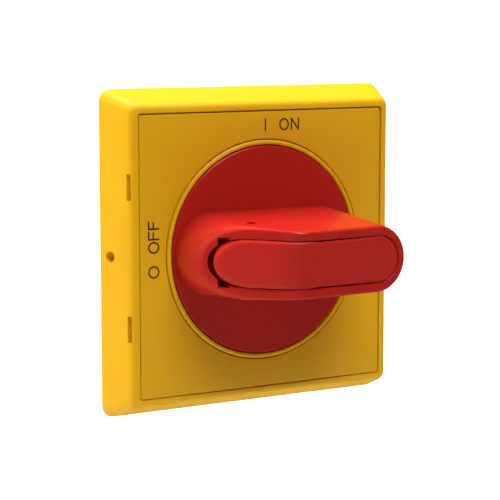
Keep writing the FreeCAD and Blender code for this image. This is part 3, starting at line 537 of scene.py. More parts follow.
def grip_rings():
    """Rings from the disc up the grip's side, over its rim and down to the pocket's floor."""
    foot, wall_top, rim, front = [], [], [], []
    lip_out, lip_edge, lip_down, floor, floor_in, floor_mid = [], [], [], [], [], []
    for direction in STADIUM:
        top = rim_height(direction)
        edge_x, _, edge_z = wall_point(direction, top)
        soft = ease(-edge_x, *SOFT_END)
        reach = EDGE_ON_SIDE + SOFT_END_REACH * soft
        foot.append(at(*wall_point(direction, DISC_PROUD)))
        wall_top.append(at(*wall_point(direction, top - reach)))
        rim.append(at(edge_x, top, edge_z))
        lip_x, lip_z = pocket_point(direction, POCKET_LIP)
        band = math.hypot(lip_x - edge_x, lip_z - edge_z)
        share = min(EDGE_ON_FRONT * (1 + SOFT_END_SPREAD * soft) / band, EDGE_LIMIT)
        in_x, in_z = edge_x + (lip_x - edge_x) * share, edge_z + (lip_z - edge_z) * share
        front.append(at(in_x, front_height(in_x), in_z))
        lip_out.append(at(lip_x, front_height(lip_x) - RAIL_DISH, lip_z))
        x, z = pocket_point(direction, 0.0)
        rail, bottom = front_height(x) - RAIL_DISH, front_height(x, POCKET_DROP)
        lip_edge.append(at(x, rail, z))
        lip_down.append(at(x, rail - POCKET_LIP_DEPTH, z))
        floor.append(at(x, bottom, z))
        floor_in.append(at(x, bottom, z / 2))
        floor_mid.append(at(x, bottom, 0))
    rings = round_between(wall_top, rim, front, steps=10)
    rings += round_between(lip_out, lip_edge, lip_down, steps=4)
    return foot, rings + [floor, floor_in, floor_mid]


def knob(material):
    """The handle: disc, grip with its pocket, and the spigot behind."""
    foot, grip = grip_rings()
    disc_rear = DISC_PROUD - DISC_THICKNESS
    spigot_end = FACE_Y - knob_high[1]
    inwards, along = SPIGOT_CHAMFER
    rings = [
        circle_ring(SPIGOT_R - inwards, spigot_end, foot),
        circle_ring(SPIGOT_R, spigot_end + along, foot),
        circle_ring(SPIGOT_R, disc_rear, foot),
        circle_ring(DISC_R - DISC_REAR_EDGE, disc_rear, foot),
        circle_ring(DISC_R, disc_rear + DISC_REAR_EDGE, foot),
    ]
    rings += round_between(
        circle_ring(DISC_R, DISC_PROUD - DISC_EDGE, foot),
        circle_ring(DISC_R, DISC_PROUD, foot),
        circle_ring(DISC_R - DISC_EDGE, DISC_PROUD, foot),
        steps=6,
    )
    rings += [circle_ring(DISC_R - DISC_EDGE - DISC_FLAT_INSET, DISC_PROUD, foot), foot] + grip
    body = combine(skin(rings), knob_tools(), "DIFFERENCE")
    mesh = mesh_from_bmesh("handle_moulding", body, smooth_angle=32.0)
    return new_object("handle_moulding", mesh, material)


def knob_tools():
    """Tools for what lies inside the pocket, the notches, the holes and the rear bore."""
    slot_floor = TONGUE_BOTTOM - TONGUE_GAP
    slot_right = TONGUE_RIGHT + TONGUE_GAP
    outline = swing_arc(TONGUE_R + TONGUE_GAP, SLOT_CURVE_TOP, slot_floor)
    outline += [(slot_right, slot_floor), (slot_right, TONGUE_TOP), SLOT_SHOULDER]
    tools = [temporary(slab(outline, TONGUE_HALF + TONGUE_GAP)), heel_room_tool()]
    seat_x, seat_r, seat_floor = BOLT_SEAT
    tools.append(rod_tool((seat_x, seat_floor, 0), (seat_x, HEEL_ROOM[1] + OVERLAP, 0), seat_r))
    behind = DISC_PROUD - DISC_THICKNESS - OVERCUT
    tools.append(rod_tool((seat_x, behind, 0), (seat_x, seat_floor + OVERLAP, 0), BOLT_HOLE_R))
    bush_low, bush_high = limits("bolt_bush")
    bush_front = FACE_Y - bush_low[1] + SLIP_GAP
    tools.append(rod_tool((seat_x, behind, 0), (seat_x, bush_front, 0), bush_high[2] + SLIP_GAP))
    tools.append(pivot_rod(TRUNNION_HALF + 2 * SLIP_GAP, PIVOT_R + SLIP_GAP))
    left, size, middle, depth = NOTCH
    for z in (-middle, middle):
        low = (left, front_height(left) - depth, z - size / 2)
        high = (left + size, front_height(left + size) + OVERCUT, z + size / 2)
        tools.append(box_tool(low, high))
    x, height, hole_r = TOOL_HOLE
    tools.append(rod_tool((x, height, TONGUE_HALF), (x, height, GRIP_HALF + OVERCUT), hole_r))
    bore, reach = SHANK_BORE
    rear = FACE_Y - knob_high[1] - OVERCUT
    tools.append(box_tool((-bore, rear, -bore), (bore, FACE_Y + reach, bore)))
    return tools


def heel_room_tool():
    """The tool for the deep room under the latch's heel."""
    left, floor, top = HEEL_ROOM
    rings = []
    for height in (floor, top):
        ring = []
        for direction in STADIUM:
            x, z = pocket_point(direction, -HAIR)
            ring.append(at(max(x, left), height, z))
        rings.append(ring)
    return temporary(skin(rings))


def pivot_rod(half_length, radius):
    """A cylinder along the latch's pivot, as a boolean's tool."""
    return rod_tool((PIVOT_X, PIVOT_HEIGHT, -half_length), (PIVOT_X, PIVOT_HEIGHT, half_length), radius)


# ---- latch -------------------------------------------------------------------
def latch_half(x):
    """Half the latch's width: widest on the ramp, stepped in past the ridge."""
    waist = LATCH_WAIST + (LATCH_HEEL - LATCH_WAIST) * ease(x, WAIST_STEP[1], LATCH_RIGHT)
    return LATCH_HALF + (waist - LATCH_HALF) * ease(x, *WAIST_STEP)


def latch_proud(x):
    """How far the latch stands above the grip's front surface at this X."""
    return LATCH_PROUD + (LATCH_RAMP_PROUD - LATCH_PROUD) * ease(-x, *LATCH_PROUD_RISE)


def latch_plate_body():
    """The latch's face as a closed shell with a rounded edge."""
    edge_low, edge, face, inner, middle = [], [], [], [], []
    under, under_mid = [], []
    sweep = math.hypot(PIVOT_X - LATCH_LEFT, PIVOT_HEIGHT - front_height(LATCH_LEFT))
    crown_in, crown_mid = LATCH_CROWN
    for direction in STADIUM:
        x, z = stadium_point(direction, LATCH_LEFT, LATCH_RIGHT, LATCH_HALF)
        z *= latch_half(x) / LATCH_HALF
        reach = LATCH_EDGE + (LATCH_RAMP_EDGE - LATCH_EDGE) * ease(-x, *LATCH_EDGE_RISE)
        in_x, in_z = stadium_point(
            direction, LATCH_LEFT + reach, LATCH_RIGHT - reach, LATCH_HALF - reach
        )
        in_z *= latch_half(in_x) / LATCH_HALF
        top = front_height(x) + latch_proud(x)
        in_top = front_height(in_x) + latch_proud(in_x)
        edge_low.append(at(x, top - reach, z))
        edge.append(at(x, top, z))
        face.append(at(in_x, in_top, in_z))
        inner.append(at(in_x, in_top + crown_in, in_z * LATCH_CROWN_SHARE))
        middle.append(at(in_x, in_top + crown_mid, 0))
        low = front_height(x, LATCH_PLATE)
        if x > PIVOT_X:
            low = min(low, HEEL_UNDERSIDE)
        fit_x = max(x, PIVOT_X - math.sqrt(max(sweep**2 - (PIVOT_HEIGHT - low) ** 2, 0)))
        under.append(at(fit_x, low, z))
        under_mid.append(at(fit_x, low, 0))
    rings = [under_mid, under]
    rings += round_between(edge_low, edge, face, steps=6)
    rings += [inner, middle]
    return skin(rings)


def latch_tongue_tool():
    """The tongue under the latch's face, with its window, as a tool to be joined on."""
    outline = swing_arc(TONGUE_R, TONGUE_CURVE_TOP, TONGUE_BOTTOM)
    outline += [(TONGUE_RIGHT, TONGUE_BOTTOM), (TONGUE_RIGHT, TONGUE_TOP), TONGUE_SHOULDER]
    body = slab(outline, TONGUE_HALF)
    sill = TONGUE_BOTTOM + TONGUE_BAR
    right = TONGUE_RIGHT - TONGUE_RIGHT_WALL
    window = swing_arc(TONGUE_R - TONGUE_WALL, WINDOW_CURVE_TOP, sill)
    window.append((right, sill))
    window += [(x, front_height(x, LATCH_PLATE)) for x in (right, WINDOW_SHOULDER_X)]
    hole = temporary(slab(window, TONGUE_HALF + OVERCUT))
    return temporary(combine(body, [hole], "DIFFERENCE"))


def padlock_latch(material):
    """The padlock latch: face, tongue, boss and trunnions in one moulding."""
    tools = [
        latch_tongue_tool(),
        pivot_rod(PIVOT_BOSS_HALF, PIVOT_BOSS_R),
        pivot_rod(TRUNNION_HALF, PIVOT_R),
    ]
    body = combine(latch_plate_body(), tools, "UNION")
    return new_object("latch_moulding", mesh_from_bmesh("latch_moulding", body, smooth_angle=32.0), material)


# ---- position marks ------------------------------------------------------------
MARK_HEIGHT = 2.45
MARK_STROKE = 0.3
MARK_THICKNESS = 0.03
MARK_LIFT = 0.002                # between strokes that cross, so that no faces coincide
F_BAR = (0.53, 0.9)              # middle bar of an F: height and width as shares
ROUND_STEPS = 40
MARK_ON_PLACE = (0.0, 23.8)      # x and z where the foot line of I ON starts
MARK_OFF_PLACE = (-23.68, 0.0)   # the same of O OFF, which reads upwards
ON_BAR = 0.19                    # middle of the I along its line
OFF_RING = (-2.83, 2.45)         # middle and width of the O
ON_LETTERS = ((4.52, 2.25), (6.07, 1.95))  # place and width: an O's middle, an N's or F's start
OFF_LETTERS = ((1.98, 2.29), (3.45, 1.75), (5.49, 1.7))


def stroke(points, closed):
    """A flat printed stroke along (u, v) points, as lists of left and right edges."""
    left, right = [], []
    count = len(points)
    for i, (u, v) in enumerate(points):
        before = points[i - 1] if closed or i > 0 else points[i]
        after = points[(i + 1) % count] if closed or i < count - 1 else points[i]
        du, dv = after[0] - before[0], after[1] - before[1]
        length = math.hypot(du, dv)
        nu, nv = -dv / length * MARK_STROKE / 2, du / length * MARK_STROKE / 2
        left.append((u + nu, v + nv))
        right.append((u - nu, v - nv))
    return left, right


def oval(centre, width):
    """Points of the upright oval of a printed O."""
    points = []
    for step in range(ROUND_STEPS):
        angle = 2 * math.pi * step / ROUND_STEPS
        points.append(
            (
                centre + (width - MARK_STROKE) / 2 * math.cos(angle),
                MARK_HEIGHT / 2 + (MARK_HEIGHT - MARK_STROKE) / 2 * math.sin(angle),
            )
        )
    return points


def letter_i(u):
    """Strokes of an I whose middle is at u."""
    return [([(u, 0), (u, MARK_HEIGHT)], False)]


def letter_o(u, width):
    """Strokes of an O whose middle is at u."""
    return [(oval(u, width), True)]


def letter_n(u, width):
    """Strokes of an N that starts at u."""
    inset = MARK_STROKE / 2
    left, right = u + inset, u + width - inset
    return letter_i(left) + letter_i(right) + [([(left, MARK_HEIGHT - inset), (right, inset)], False)]


def letter_f(u, width):
    """Strokes of an F that starts at u."""
    inset = MARK_STROKE / 2
    left, top = u + inset, MARK_HEIGHT - inset
    middle, share = MARK_HEIGHT * F_BAR[0], F_BAR[1]
    return letter_i(left) + [
        ([(left, top), (u + width, top)], False),
        ([(left, middle), (u + width * share, middle)], False),
    ]


def print_mark(name, strokes, origin, turned, material):
    """A printed mark on the label: strokes from an (x, z) origin, turned to read upwards or not."""
    bm = bmesh.new()
    for index, (points, closed) in enumerate(strokes):
        lift = MARK_THICKNESS + MARK_LIFT * (index % 3)
        rings = []
        for (lu, lv), (ru, rv) in zip(*stroke(points, closed)):
            ring = []
            for u, v, height in ((lu, lv, 0.0), (lu, lv, lift), (ru, rv, lift), (ru, rv, 0.0)):
                x, z = (origin[0] - v, origin[1] + u) if turned else (origin[0] + u, origin[1] + v)
                ring.append(at(x, height, z))
            rings.append(ring)
        add_skin(bm, rings, closed)
    return new_object(name, mesh_from_bmesh(name, bm, smooth_angle=30.0), material)


# ---- node trees ----------------------------------------------------------------
MIX_A, MIX_B, MIX_RESULT = 6, 7, 2  # the colour sockets of a Mix node


def new_group(name, tree, inputs, outputs):
    """A node group with named sockets, and its input and output nodes."""
    group = bpy.data.node_groups.new(name, tree)
    for direction, sockets in (("INPUT", inputs), ("OUTPUT", outputs)):
        for label, kind, *value in sockets:
            socket = group.interface.new_socket(name=label, in_out=direction, socket_type="NodeSocket" + kind)
            if value:
                socket.default_value = value[0]
    return group, group.nodes.new("NodeGroupInput"), group.nodes.new("NodeGroupOutput")


def wire(tree, *joints):
    """Link the sockets of a node tree, each link as node, output, node, input."""
    for source, output, target, entry in joints:
        tree.links.new(source.outputs[output], target.inputs[entry])


def new_node(tree, kind, values=None):
    """A new node of a tree, with some of its inputs set."""
    node = tree.nodes.new(kind)
    set_inputs(node, values or {})
    return node


def set_inputs(node, values):
    """Set a node's inputs, each by its name or number."""
    for entry, value in values.items():
        node.inputs[entry].default_value = value


# ---- screws --------------------------------------------------------------------
COVER_SCREW_HEAD_R = 2.1
COVER_SCREW_HEAD = 1.3
COVER_SCREW_EDGE = ((0.4, 0.0), (0.1, 0.08), (0.0, 0.25))  # of the head: inset and depth
COVER_SCREW_R = 1.1
THREAD_PITCH = 0.55
THREAD_DEPTH = 0.18
THREAD_START = 0.05              # of each groove's bottom, past the start of its turn
CROSS_ARM = (0.62, 0.11)         # half length and half width, as shares of the head's radius
CROSS_DEPTH = 0.6                # as a share of the head's height
CROSS_OVERCUT = 0.2
SCREW_STEPS = 32


def repeat_group():
    """A tree that puts one piece on every point of a mesh, as real geometry with its material."""
    group, source, result = new_group(
        "repeat_on_points",
        "GeometryNodeTree",
        (("Geometry", "Geometry"), ("Piece", "Object"), ("Size", "Float", 1.0), ("Material", "Material")),
        (("Geometry", "Geometry"),),
    )
    piece = new_node(group, "GeometryNodeObjectInfo")
    scatter = new_node(group, "GeometryNodeInstanceOnPoints")
    realize = new_node(group, "GeometryNodeRealizeInstances")
    paint = new_node(group, "GeometryNodeSetMaterial")
    wire(
        group,
        (source, "Piece", piece, "Object"),
        (source, "Geometry", scatter, "Points"),
        (piece, "Geometry", scatter, "Instance"),
        (source, "Size", scatter, "Scale"),
        (scatter, "Instances", realize, "Geometry"),
        (realize, "Geometry", paint, "Geometry"),
        (source, "Material", paint, "Material"),
        (paint, "Geometry", result, "Geometry"),
    )
    return group


def socket_id(group, name):
    """The identifier of a node group's named input."""
    for item in group.interface.items_tree:
        if item.item_type == "SOCKET" and item.in_out == "INPUT" and item.name == name:
            return item.identifier


def repeated(name, bm, places, group, material):
    """Copies of a bmesh at each place, in one plain mesh."""
    pattern = temporary(bm)
    points = bpy.data.meshes.new("points")
    points.from_pydata(places, [], [])
    holder = bpy.data.objects.new("points", points)
    bpy.context.scene.collection.objects.link(holder)
    repeat = holder.modifiers.new("repeat", "NODES")
    repeat.node_group = group
    repeat[socket_id(group, "Piece")] = pattern
    repeat[socket_id(group, "Material")] = material
    graph = bpy.context.evaluated_depsgraph_get()
    graph.update()
    merged = bmesh.new()
    merged.from_mesh(bpy.data.meshes.new_from_object(holder.evaluated_get(graph)))
    for used in (holder, pattern):
        bpy.data.objects.remove(used)
    return new_object(name, mesh_from_bmesh(name, merged, smooth_angle=30.0), material)


def screw_ring(radius, depth):
    """A ring of a screw along -Y, this deep from its head's outer face."""
    ring = []
    for step in range(SCREW_STEPS):
        angle = 2 * math.pi * step / SCREW_STEPS
        ring.append(Vector((radius * MM * math.cos(angle), -depth * MM, radius * MM * math.sin(angle))))
    return ring


def cover_screw(length):
    """A screw with a soft round head, a thread and a cross recess, its head at the origin."""
    head_r, head = COVER_SCREW_HEAD_R, COVER_SCREW_HEAD
    rings = [screw_ring(head_r - inset, depth) for inset, depth in COVER_SCREW_EDGE]
    rings.append(screw_ring(head_r, head))
    depth = head
    while depth < length - THREAD_PITCH:
        rings.append(screw_ring(COVER_SCREW_R - THREAD_DEPTH, depth + THREAD_START))
        rings.append(screw_ring(COVER_SCREW_R, depth + THREAD_PITCH / 2))
        depth += THREAD_PITCH
    rings += [screw_ring(COVER_SCREW_R - THREAD_DEPTH, depth), screw_ring(COVER_SCREW_R / 2, length)]
    long, short = (head_r * share for share in CROSS_ARM)
    slots = [screw_slot(long, short, head), screw_slot(short, long, head)]
    return combine(skin(rings), slots, "DIFFERENCE")


def screw_slot(reach_x, reach_z, head):
    """One arm of the cross recess, as a tool."""
    rings = []
    for depth in (-CROSS_OVERCUT, CROSS_DEPTH * head):
        pairs = ((-reach_x, -reach_z), (reach_x, -reach_z), (reach_x, reach_z), (-reach_x, reach_z))
        rings.append([Vector((x * MM, -depth * MM, z * MM)) for x, z in pairs])
    return temporary(skin(rings))


def cover_screws(material):
    """The four cover screws in the base's rear, one pattern repeated."""
    low, high = limits("cover_screws")
    near, far = low[0] + COVER_SCREW_HEAD_R, high[0] - COVER_SCREW_HEAD_R
    places = [(x * MM, high[1] * MM, z * MM) for x in (near, far) for z in (near, far)]
    pattern = cover_screw(high[1] - low[1])
    return repeated("cover_screw_set", pattern, places, repeat_group(), material)


# ---- springs -------------------------------------------------------------------
# node, joint that presses it, axis (0 is X, 1 is Y), wire radius and turns
SPRINGS = (
    ("bolt_spring", "bolt_slide", 1, 0.22, 4.0),
    ("catch_spring", "catch_slide", 0, 0.15, 3.0),
)
WIRE_STEPS = 28                  # rings of the wire in one turn
WIRE_SIDES = 10


def coil_spring(node, axis, wire_r, turns, material):
    """A compression spring of round wire, as large as its node."""
    low, high = limits(node)
    across = 1 - axis
    middle = (low[across] + high[across]) / 2
    radius = (high[across] - low[across]) / 2 - wire_r
    length = high[axis] - low[axis] - 2 * wire_r
    rings = []
    steps = round(turns * WIRE_STEPS)
    for step in range(steps + 1):
        turn = 2 * math.pi * step / WIRE_STEPS
        ring = []
        for side in range(WIRE_SIDES):
            angle = 2 * math.pi * side / WIRE_SIDES
            out = radius + wire_r * math.cos(angle)
            point = Vector((0, 0, out * math.sin(turn)))
            point[axis] = low[axis] + wire_r + length * step / steps + wire_r * math.sin(angle)
            point[across] = middle + out * math.cos(turn)
            ring.append(point * MM)
        rings.append(ring)
    name = node + "_wire"
    return new_object(name, mesh_from_bmesh(name, skin(rings), smooth_angle=50.0), material)


def springs(material):
    """The two springs, each a coil of wire in its node's place, carried with the handle."""
    for node, joint, axis, wire_r, turns in SPRINGS:
        low, high = limits(node)
        piece = coil_spring(node, axis, wire_r, turns, material)
        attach(piece, "handle")
        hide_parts(node)
        seat = [(a + b) / 2 * MM for a, b in zip(low, high)]
        seat[axis] = high[axis] * MM
        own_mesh(piece)


# ---- materials ---------------------------------------------------------------
PORE_SHARE = 0.35                # of the pores in the grain's height
PLASTIC_GRAIN = 7000.0
PLASTIC_FLOW = 45.0
PLASTIC_RELIEF = 0.00005         # depth of the grain in metres
METAL_GRAIN = 1500.0
METAL_FLOW = 300.0
METAL_RELIEF = 0.00003
METAL_SPOTS = 0.25               # roughness that the dull spots add


def moulded_skin_group():
    """Fine spark-eroded grain, slow colour flow and gloss changes of moulded plastic."""
    group, source, result = new_group(
        "moulded_skin",
        "ShaderNodeTree",
        (
            ("Colour", "Color", (0.8, 0.8, 0.8, 1)),
            ("Deep colour", "Color", (0.7, 0.7, 0.7, 1)),
            ("Grain scale", "Float", 9000.0),
            ("Flow scale", "Float", 60.0),
            ("Gloss low", "Float", 0.35),
            ("Gloss high", "Float", 0.45),
        ),
        (("Colour", "Color"), ("Roughness", "Float"), ("Height", "Float")),
    )
    place = new_node(group, "ShaderNodeTexCoord")
    grain = new_node(group, "ShaderNodeTexNoise", {"Detail": 2.0})
    flow = new_node(group, "ShaderNodeTexNoise", {"Detail": 3.0, "Roughness": 0.55})
    pores = new_node(group, "ShaderNodeTexVoronoi")
    add = new_node(group, "ShaderNodeMath", {1: PORE_SHARE})
    add.operation = "MULTIPLY_ADD"
    mix = new_node(group, "ShaderNodeMix")
    mix.data_type = "RGBA"
    gloss = new_node(group, "ShaderNodeMapRange")
    wire(
        group,
        (place, "Object", grain, "Vector"),
        (place, "Object", flow, "Vector"),
        (place, "Object", pores, "Vector"),
        (source, "Grain scale", grain, "Scale"),
        (source, "Grain scale", pores, "Scale"),
        (source, "Flow scale", flow, "Scale"),
        (pores, "Distance", add, 0),
        (grain, "Fac", add, 2),
        (flow, "Fac", mix, "Factor"),
        (source, "Deep colour", mix, MIX_A),
        (source, "Colour", mix, MIX_B),
        (flow, "Fac", gloss, "Value"),
        (source, "Gloss low", gloss, "To Min"),
        (source, "Gloss high", gloss, "To Max"),
        (mix, MIX_RESULT, result, "Colour"),
        (gloss, "Result", result, "Roughness"),
        (add, "Value", result, "Height"),
    )
    return group


def dull_spots_group():
    """A faint mask of dull spots, from broken-up noise."""
    group, source, result = new_group(
        "dull_spots",
        "ShaderNodeTree",
        (("Scale", "Float", 900.0), ("Amount", "Float", 0.2)),
        (("Mask", "Float"),),
    )
    place = new_node(group, "ShaderNodeTexCoord")
    noise = new_node(group, "ShaderNodeTexNoise", {"Detail": 4.0})
    spread = new_node(group, "ShaderNodeMapRange", {"From Min": 0.45, "From Max": 0.75})
    scale = new_node(group, "ShaderNodeMath")
    scale.operation = "MULTIPLY"
    wire(
        group,
        (place, "Object", noise, "Vector"),
        (source, "Scale", noise, "Scale"),
        (noise, "Fac", spread, "Value"),
        (spread, "Result", scale, 0),
        (source, "Amount", scale, 1),
        (scale, "Value", result, "Mask"),
    )
    return group


MOULDED_SKIN = moulded_skin_group()
DULL_SPOTS = dull_spots_group()


def skinned(name, colour, deep, gloss, grain, flow, bump, relief):
    """A material with the moulded skin's colours and bump, its shader and its skin node."""
    material = bpy.data.materials.new(name)
    material.use_nodes = True
    tree = material.node_tree
    shader = tree.nodes["Principled BSDF"]
    surface = new_node(tree, "ShaderNodeGroup")
    surface.node_tree = MOULDED_SKIN
    set_inputs(
        surface,
        {
            "Colour": (*colour, 1),
            "Deep colour": (*deep, 1),
            "Grain scale": grain,
            "Flow scale": flow,
            "Gloss low": gloss[0],
            "Gloss high": gloss[1],
        },
    )
    bumps = new_node(tree, "ShaderNodeBump", {"Strength": bump, "Distance": relief})
    wire(
        tree,
        (surface, "Colour", shader, "Base Color"),
        (surface, "Height", bumps, "Height"),
        (bumps, "Normal", shader, "Normal"),
    )
    return material, shader, surface


def plastic(name, colour, deep, gloss=(0.36, 0.44), bump=0.06, specular=0.5):
    """Moulded plastic: two close shades, fine grain and a changing gloss."""
    material, shader, surface = skinned(
        name, colour, deep, gloss, PLASTIC_GRAIN, PLASTIC_FLOW, bump, PLASTIC_RELIEF
    )
    set_inputs(shader, {"Specular IOR Level": specular, "IOR": 1.5})
    wire(material.node_tree, (surface, "Roughness", shader, "Roughness"))
    return material


def metal(name, colour, deep, gloss=(0.28, 0.42), bump=0.2):
    """Plated or bare metal with a streaky gloss and faint dull spots."""
    material, shader, surface = skinned(
        name, colour, deep, gloss, METAL_GRAIN, METAL_FLOW, bump, METAL_RELIEF
    )
    tree = material.node_tree
    set_inputs(shader, {"Metallic": 1.0})
    spots = new_node(tree, "ShaderNodeGroup")
    spots.node_tree = DULL_SPOTS
    set_inputs(spots, {"Amount": METAL_SPOTS})
    rough = new_node(tree, "ShaderNodeMath")
    rough.operation = "ADD"
    wire(
        tree,
        (surface, "Roughness", rough, 0),
        (spots, "Mask", rough, 1),
        (rough, "Value", shader, "Roughness"),
    )
    return material


cover_yellow = plastic("cover_yellow", (0.86, 0.46, 0.003), (0.83, 0.435, 0.003), specular=0.3)
label_yellow = plastic(
    "label_yellow", (0.80, 0.42, 0.003), (0.78, 0.40, 0.003), gloss=(0.42, 0.5), specular=0.3
)
handle_red = plastic(
    "handle_red", (0.50, 0.016, 0.010), (0.46, 0.014, 0.008), gloss=(0.24, 0.30), specular=0.4
)
latch_red = plastic("latch_red", (0.52, 0.018, 0.011), (0.48, 0.015, 0.009), gloss=(0.34, 0.40), specular=0.3)
mark_ink = plastic("mark_ink", (0.035, 0.014, 0.004), (0.028, 0.011, 0.003), gloss=(0.45, 0.55))
base_grey = plastic("base_grey", (0.030, 0.030, 0.033), (0.022, 0.022, 0.024), gloss=(0.4, 0.5), bump=0.12)
seal_rubber = plastic(
    "seal_rubber", (0.012, 0.012, 0.012), (0.008, 0.008, 0.008), gloss=(0.6, 0.75), specular=0.3
)
washer_white = plastic("washer_white", (0.78, 0.77, 0.72), (0.72, 0.71, 0.66), gloss=(0.3, 0.4))
zinc_steel = metal("zinc_steel", (0.66, 0.67, 0.69), (0.56, 0.57, 0.60))
spring_steel = metal("spring_steel", (0.42, 0.42, 0.44), (0.32, 0.32, 0.34), gloss=(0.3, 0.4))
die_cast = metal("die_cast", (0.50, 0.51, 0.53), (0.42, 0.43, 0.45), gloss=(0.42, 0.55), bump=0.5)
brass = metal("brass", (0.70, 0.50, 0.20), (0.60, 0.42, 0.16))

NODE_MATERIALS = {
    "cover_frame": cover_yellow,
    "label_plate": label_yellow,
    "mounting_base": base_grey,
    "door_gasket": seal_rubber,
    "disc_seal": seal_rubber,
    "shaft_seal": seal_rubber,
    "index_ring": zinc_steel,
    "index_screws": zinc_steel,
    "cover_screws": zinc_steel,
    "knob": handle_red,
    "drive_hub": die_cast,
    "hub_screw": zinc_steel,
    "interlock_catch": zinc_steel,
    "catch_spring": spring_steel,
    "catch_plug": brass,
    "circlip": spring_steel,
    "thrust_washer": washer_white,
    "spring_washer": spring_steel,
    "lock_bolt": zinc_steel,
    "bolt_spring": spring_steel,
    "bolt_bush": brass,
    "padlock_latch": latch_red,
}


# ---- stage ---------------------------------------------------------------------
# The stage, the lights and the camera's distance are in metres, its target in millimetres.
WHITE = (1, 1, 1, 1)
FLOOR_WHITE = (0.93, 0.93, 0.93, 1)
FLOOR_LIFT = 0.5                 # glow of the floor that only the camera sees
FLOOR_LEVEL = -0.32
FLOOR_FRONT = -2.5
FLOOR_HALF = 4.0
BACKDROP_Y = 1.5
BACKDROP_TOP = 2.5
BACKDROP_BEND = 0.9
BACKDROP_STEPS = 12
SURROUND = 0.06                  # strength of the surround that lights the object
SURROUND_SEEN = 0.8              # and of the one that the camera sees
OBJECT_MIDDLE = (0, -0.01, 0)
# name, place, target, side, power and whether gloss mirrors the light
LIGHTS = (
    ("key_above", (0, -0.40, 0.693), OBJECT_MIDDLE, 0.5, 5.2, True),
    ("top_wash", (0, 0.274, 0.752), OBJECT_MIDDLE, 0.5, 5.2, False),
    ("fill_left", (-0.681, 0.318, 0.274), OBJECT_MIDDLE, 0.5, 4.9, False),
    ("backdrop_wash", (0, 0.6, 1.2), (0, 1.4, 0.2), 1.5, 26.0, False),
)
CAMERA_AZIMUTH = math.radians(-30.07)
CAMERA_ELEVATION = math.radians(7.66)
CAMERA_DISTANCE = 0.3460
CAMERA_LENS = 124.6
CAMERA_SENSOR = 36.0
CAMERA_CLIP = (0.01, 20.0)
CAMERA_TARGET = (-3.365, 0, 0.114)  # x, height and z


def floor():
    """A plain pale floor that curves up into a backdrop far behind the object."""
    material = bpy.data.materials.new("studio_floor")
    material.use_nodes = True
    tree = material.node_tree
    shader = tree.nodes["Principled BSDF"]
    set_inputs(shader, {"Base Color": FLOOR_WHITE, "Roughness": 0.9, "Emission Color": WHITE})
    rays = new_node(tree, "ShaderNodeLightPath")
    lift = new_node(tree, "ShaderNodeMath", {1: FLOOR_LIFT})
    lift.operation = "MULTIPLY"
    wire(
        tree,
        (rays, "Is Camera Ray", lift, 0),
        (lift, "Value", shader, "Emission Strength"),
    )
    profile = [(FLOOR_FRONT, FLOOR_LEVEL)]
    for step in range(BACKDROP_STEPS + 1):
        angle = math.radians(90 * step / BACKDROP_STEPS)
        y = BACKDROP_Y - BACKDROP_BEND * (1 - math.sin(angle))
        profile.append((y, FLOOR_LEVEL + BACKDROP_BEND * (1 - math.cos(angle))))
    profile.append((BACKDROP_Y, BACKDROP_TOP))
    bm = bmesh.new()
    left, right = ([bm.verts.new((side * FLOOR_HALF, y, z)) for y, z in profile] for side in (-1, 1))
    for i in range(len(profile) - 1):
        bm.faces.new((left[i], right[i], right[i + 1], left[i + 1])).smooth = True
    mesh = bpy.data.meshes.new("studio_floor")
    bm.to_mesh(mesh)
    bm.free()
    sheet = new_object("studio_floor", mesh, material)
    sheet.visible_glossy = False


def area_light(name, place, target, side, power, mirrored):
    """A soft square light that points at a target; only a mirrored one shows in gloss."""
    data = bpy.data.lights.new(name, "AREA")
    data.size = side
    data.energy = power
    light = bpy.data.objects.new(name, data)
    light.location = place
    light.rotation_euler = (Vector(target) - Vector(place)).to_track_quat("-Z", "Y").to_euler()
    light.visible_glossy = mirrored
    bpy.context.scene.collection.objects.link(light)


def studio():
    """Soft lights from above and the left, and a surround that the camera sees brighter."""
    world = bpy.data.worlds.new("studio")
    world.use_nodes = True
    tree = world.node_tree
    surround = tree.nodes["Background"]
    set_inputs(surround, {"Color": WHITE, "Strength": SURROUND})
    seen = new_node(tree, "ShaderNodeBackground", {"Color": WHITE, "Strength": SURROUND_SEEN})
    rays = new_node(tree, "ShaderNodeLightPath")
    choice = new_node(tree, "ShaderNodeMixShader")
    wire(
        tree,
        (rays, "Is Camera Ray", choice, "Fac"),
        (surround, "Background", choice, 1),
        (seen, "Background", choice, 2),
        (choice, "Shader", tree.nodes["World Output"], "Surface"),
    )
    bpy.context.scene.world = world
    bpy.context.scene.view_settings.view_transform = "Standard"
    for light in LIGHTS:
        area_light(*light)


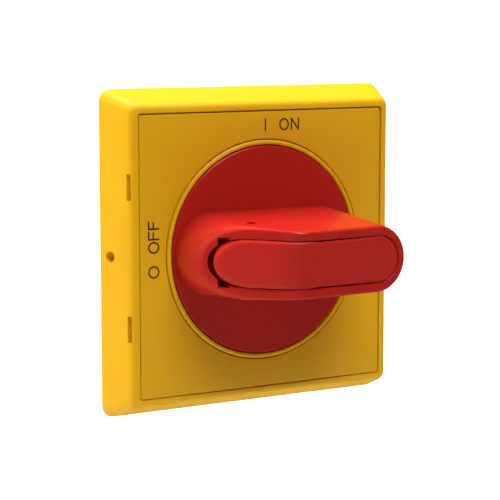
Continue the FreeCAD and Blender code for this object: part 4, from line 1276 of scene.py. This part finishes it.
def camera():
    """The camera: left of the object's front and a little above it."""
    data = bpy.data.cameras.new("camera")
    data.sensor_width = CAMERA_SENSOR
    data.lens = CAMERA_LENS
    data.clip_start, data.clip_end = CAMERA_CLIP
    back = Vector(
        (
            math.sin(CAMERA_AZIMUTH) * math.cos(CAMERA_ELEVATION),
            -math.cos(CAMERA_AZIMUTH) * math.cos(CAMERA_ELEVATION),
            math.sin(CAMERA_ELEVATION),
        )
    )
    view = bpy.data.objects.new("camera", data)
    view.location = at(*CAMERA_TARGET) + back * CAMERA_DISTANCE
    view.rotation_euler = (-back).to_track_quat("-Z", "Y").to_euler()
    bpy.context.scene.collection.objects.link(view)
    bpy.context.scene.camera = view


# ---- putting it together ---------------------------------------------------------
def finish_cad_nodes():
    """Give each CAD node its procedural material."""
    for name, material in NODE_MATERIALS.items():
        node = frame["nodes"][name]
        for slot in node.material_slots:
            slot.material = material


def modelled_pieces():
    """The large mouldings and the screws that stand for their CAD nodes."""
    made = (
        (cover_frame(cover_yellow), "housing", "cover_frame", "cover"),
        (label_plate(label_yellow), "housing", "label_plate", "label"),
        (knob(handle_red), "handle", "knob", "handle"),
        (padlock_latch(latch_red), "latch", "padlock_latch", "latch"),
        (cover_screws(zinc_steel), "housing", "cover_screws", "zinc_steel"),
    )
    for piece, body, node, slot in made:
        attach(piece, body)
        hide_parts(node)


def position_marks():
    """The printed marks: I ON above the disc, O OFF to its left, turned to read upwards."""
    on_word = letter_o(*ON_LETTERS[0]) + letter_n(*ON_LETTERS[1])
    off_word = letter_o(*OFF_LETTERS[0]) + letter_f(*OFF_LETTERS[1]) + letter_f(*OFF_LETTERS[2])
    marks = (
        ("mark_on_bar", letter_i(ON_BAR), MARK_ON_PLACE, False),
        ("mark_on_word", on_word, MARK_ON_PLACE, False),
        ("mark_off_ring", letter_o(*OFF_RING), MARK_OFF_PLACE, True),
        ("mark_off_word", off_word, MARK_OFF_PLACE, True),
    )
    for name, strokes, place, turned in marks:
        mark = print_mark(name, strokes, place, turned, mark_ink)
        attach(mark, "housing")


camera()
floor()
studio()
finish_cad_nodes()
modelled_pieces()
springs(spring_steel)
position_marks()
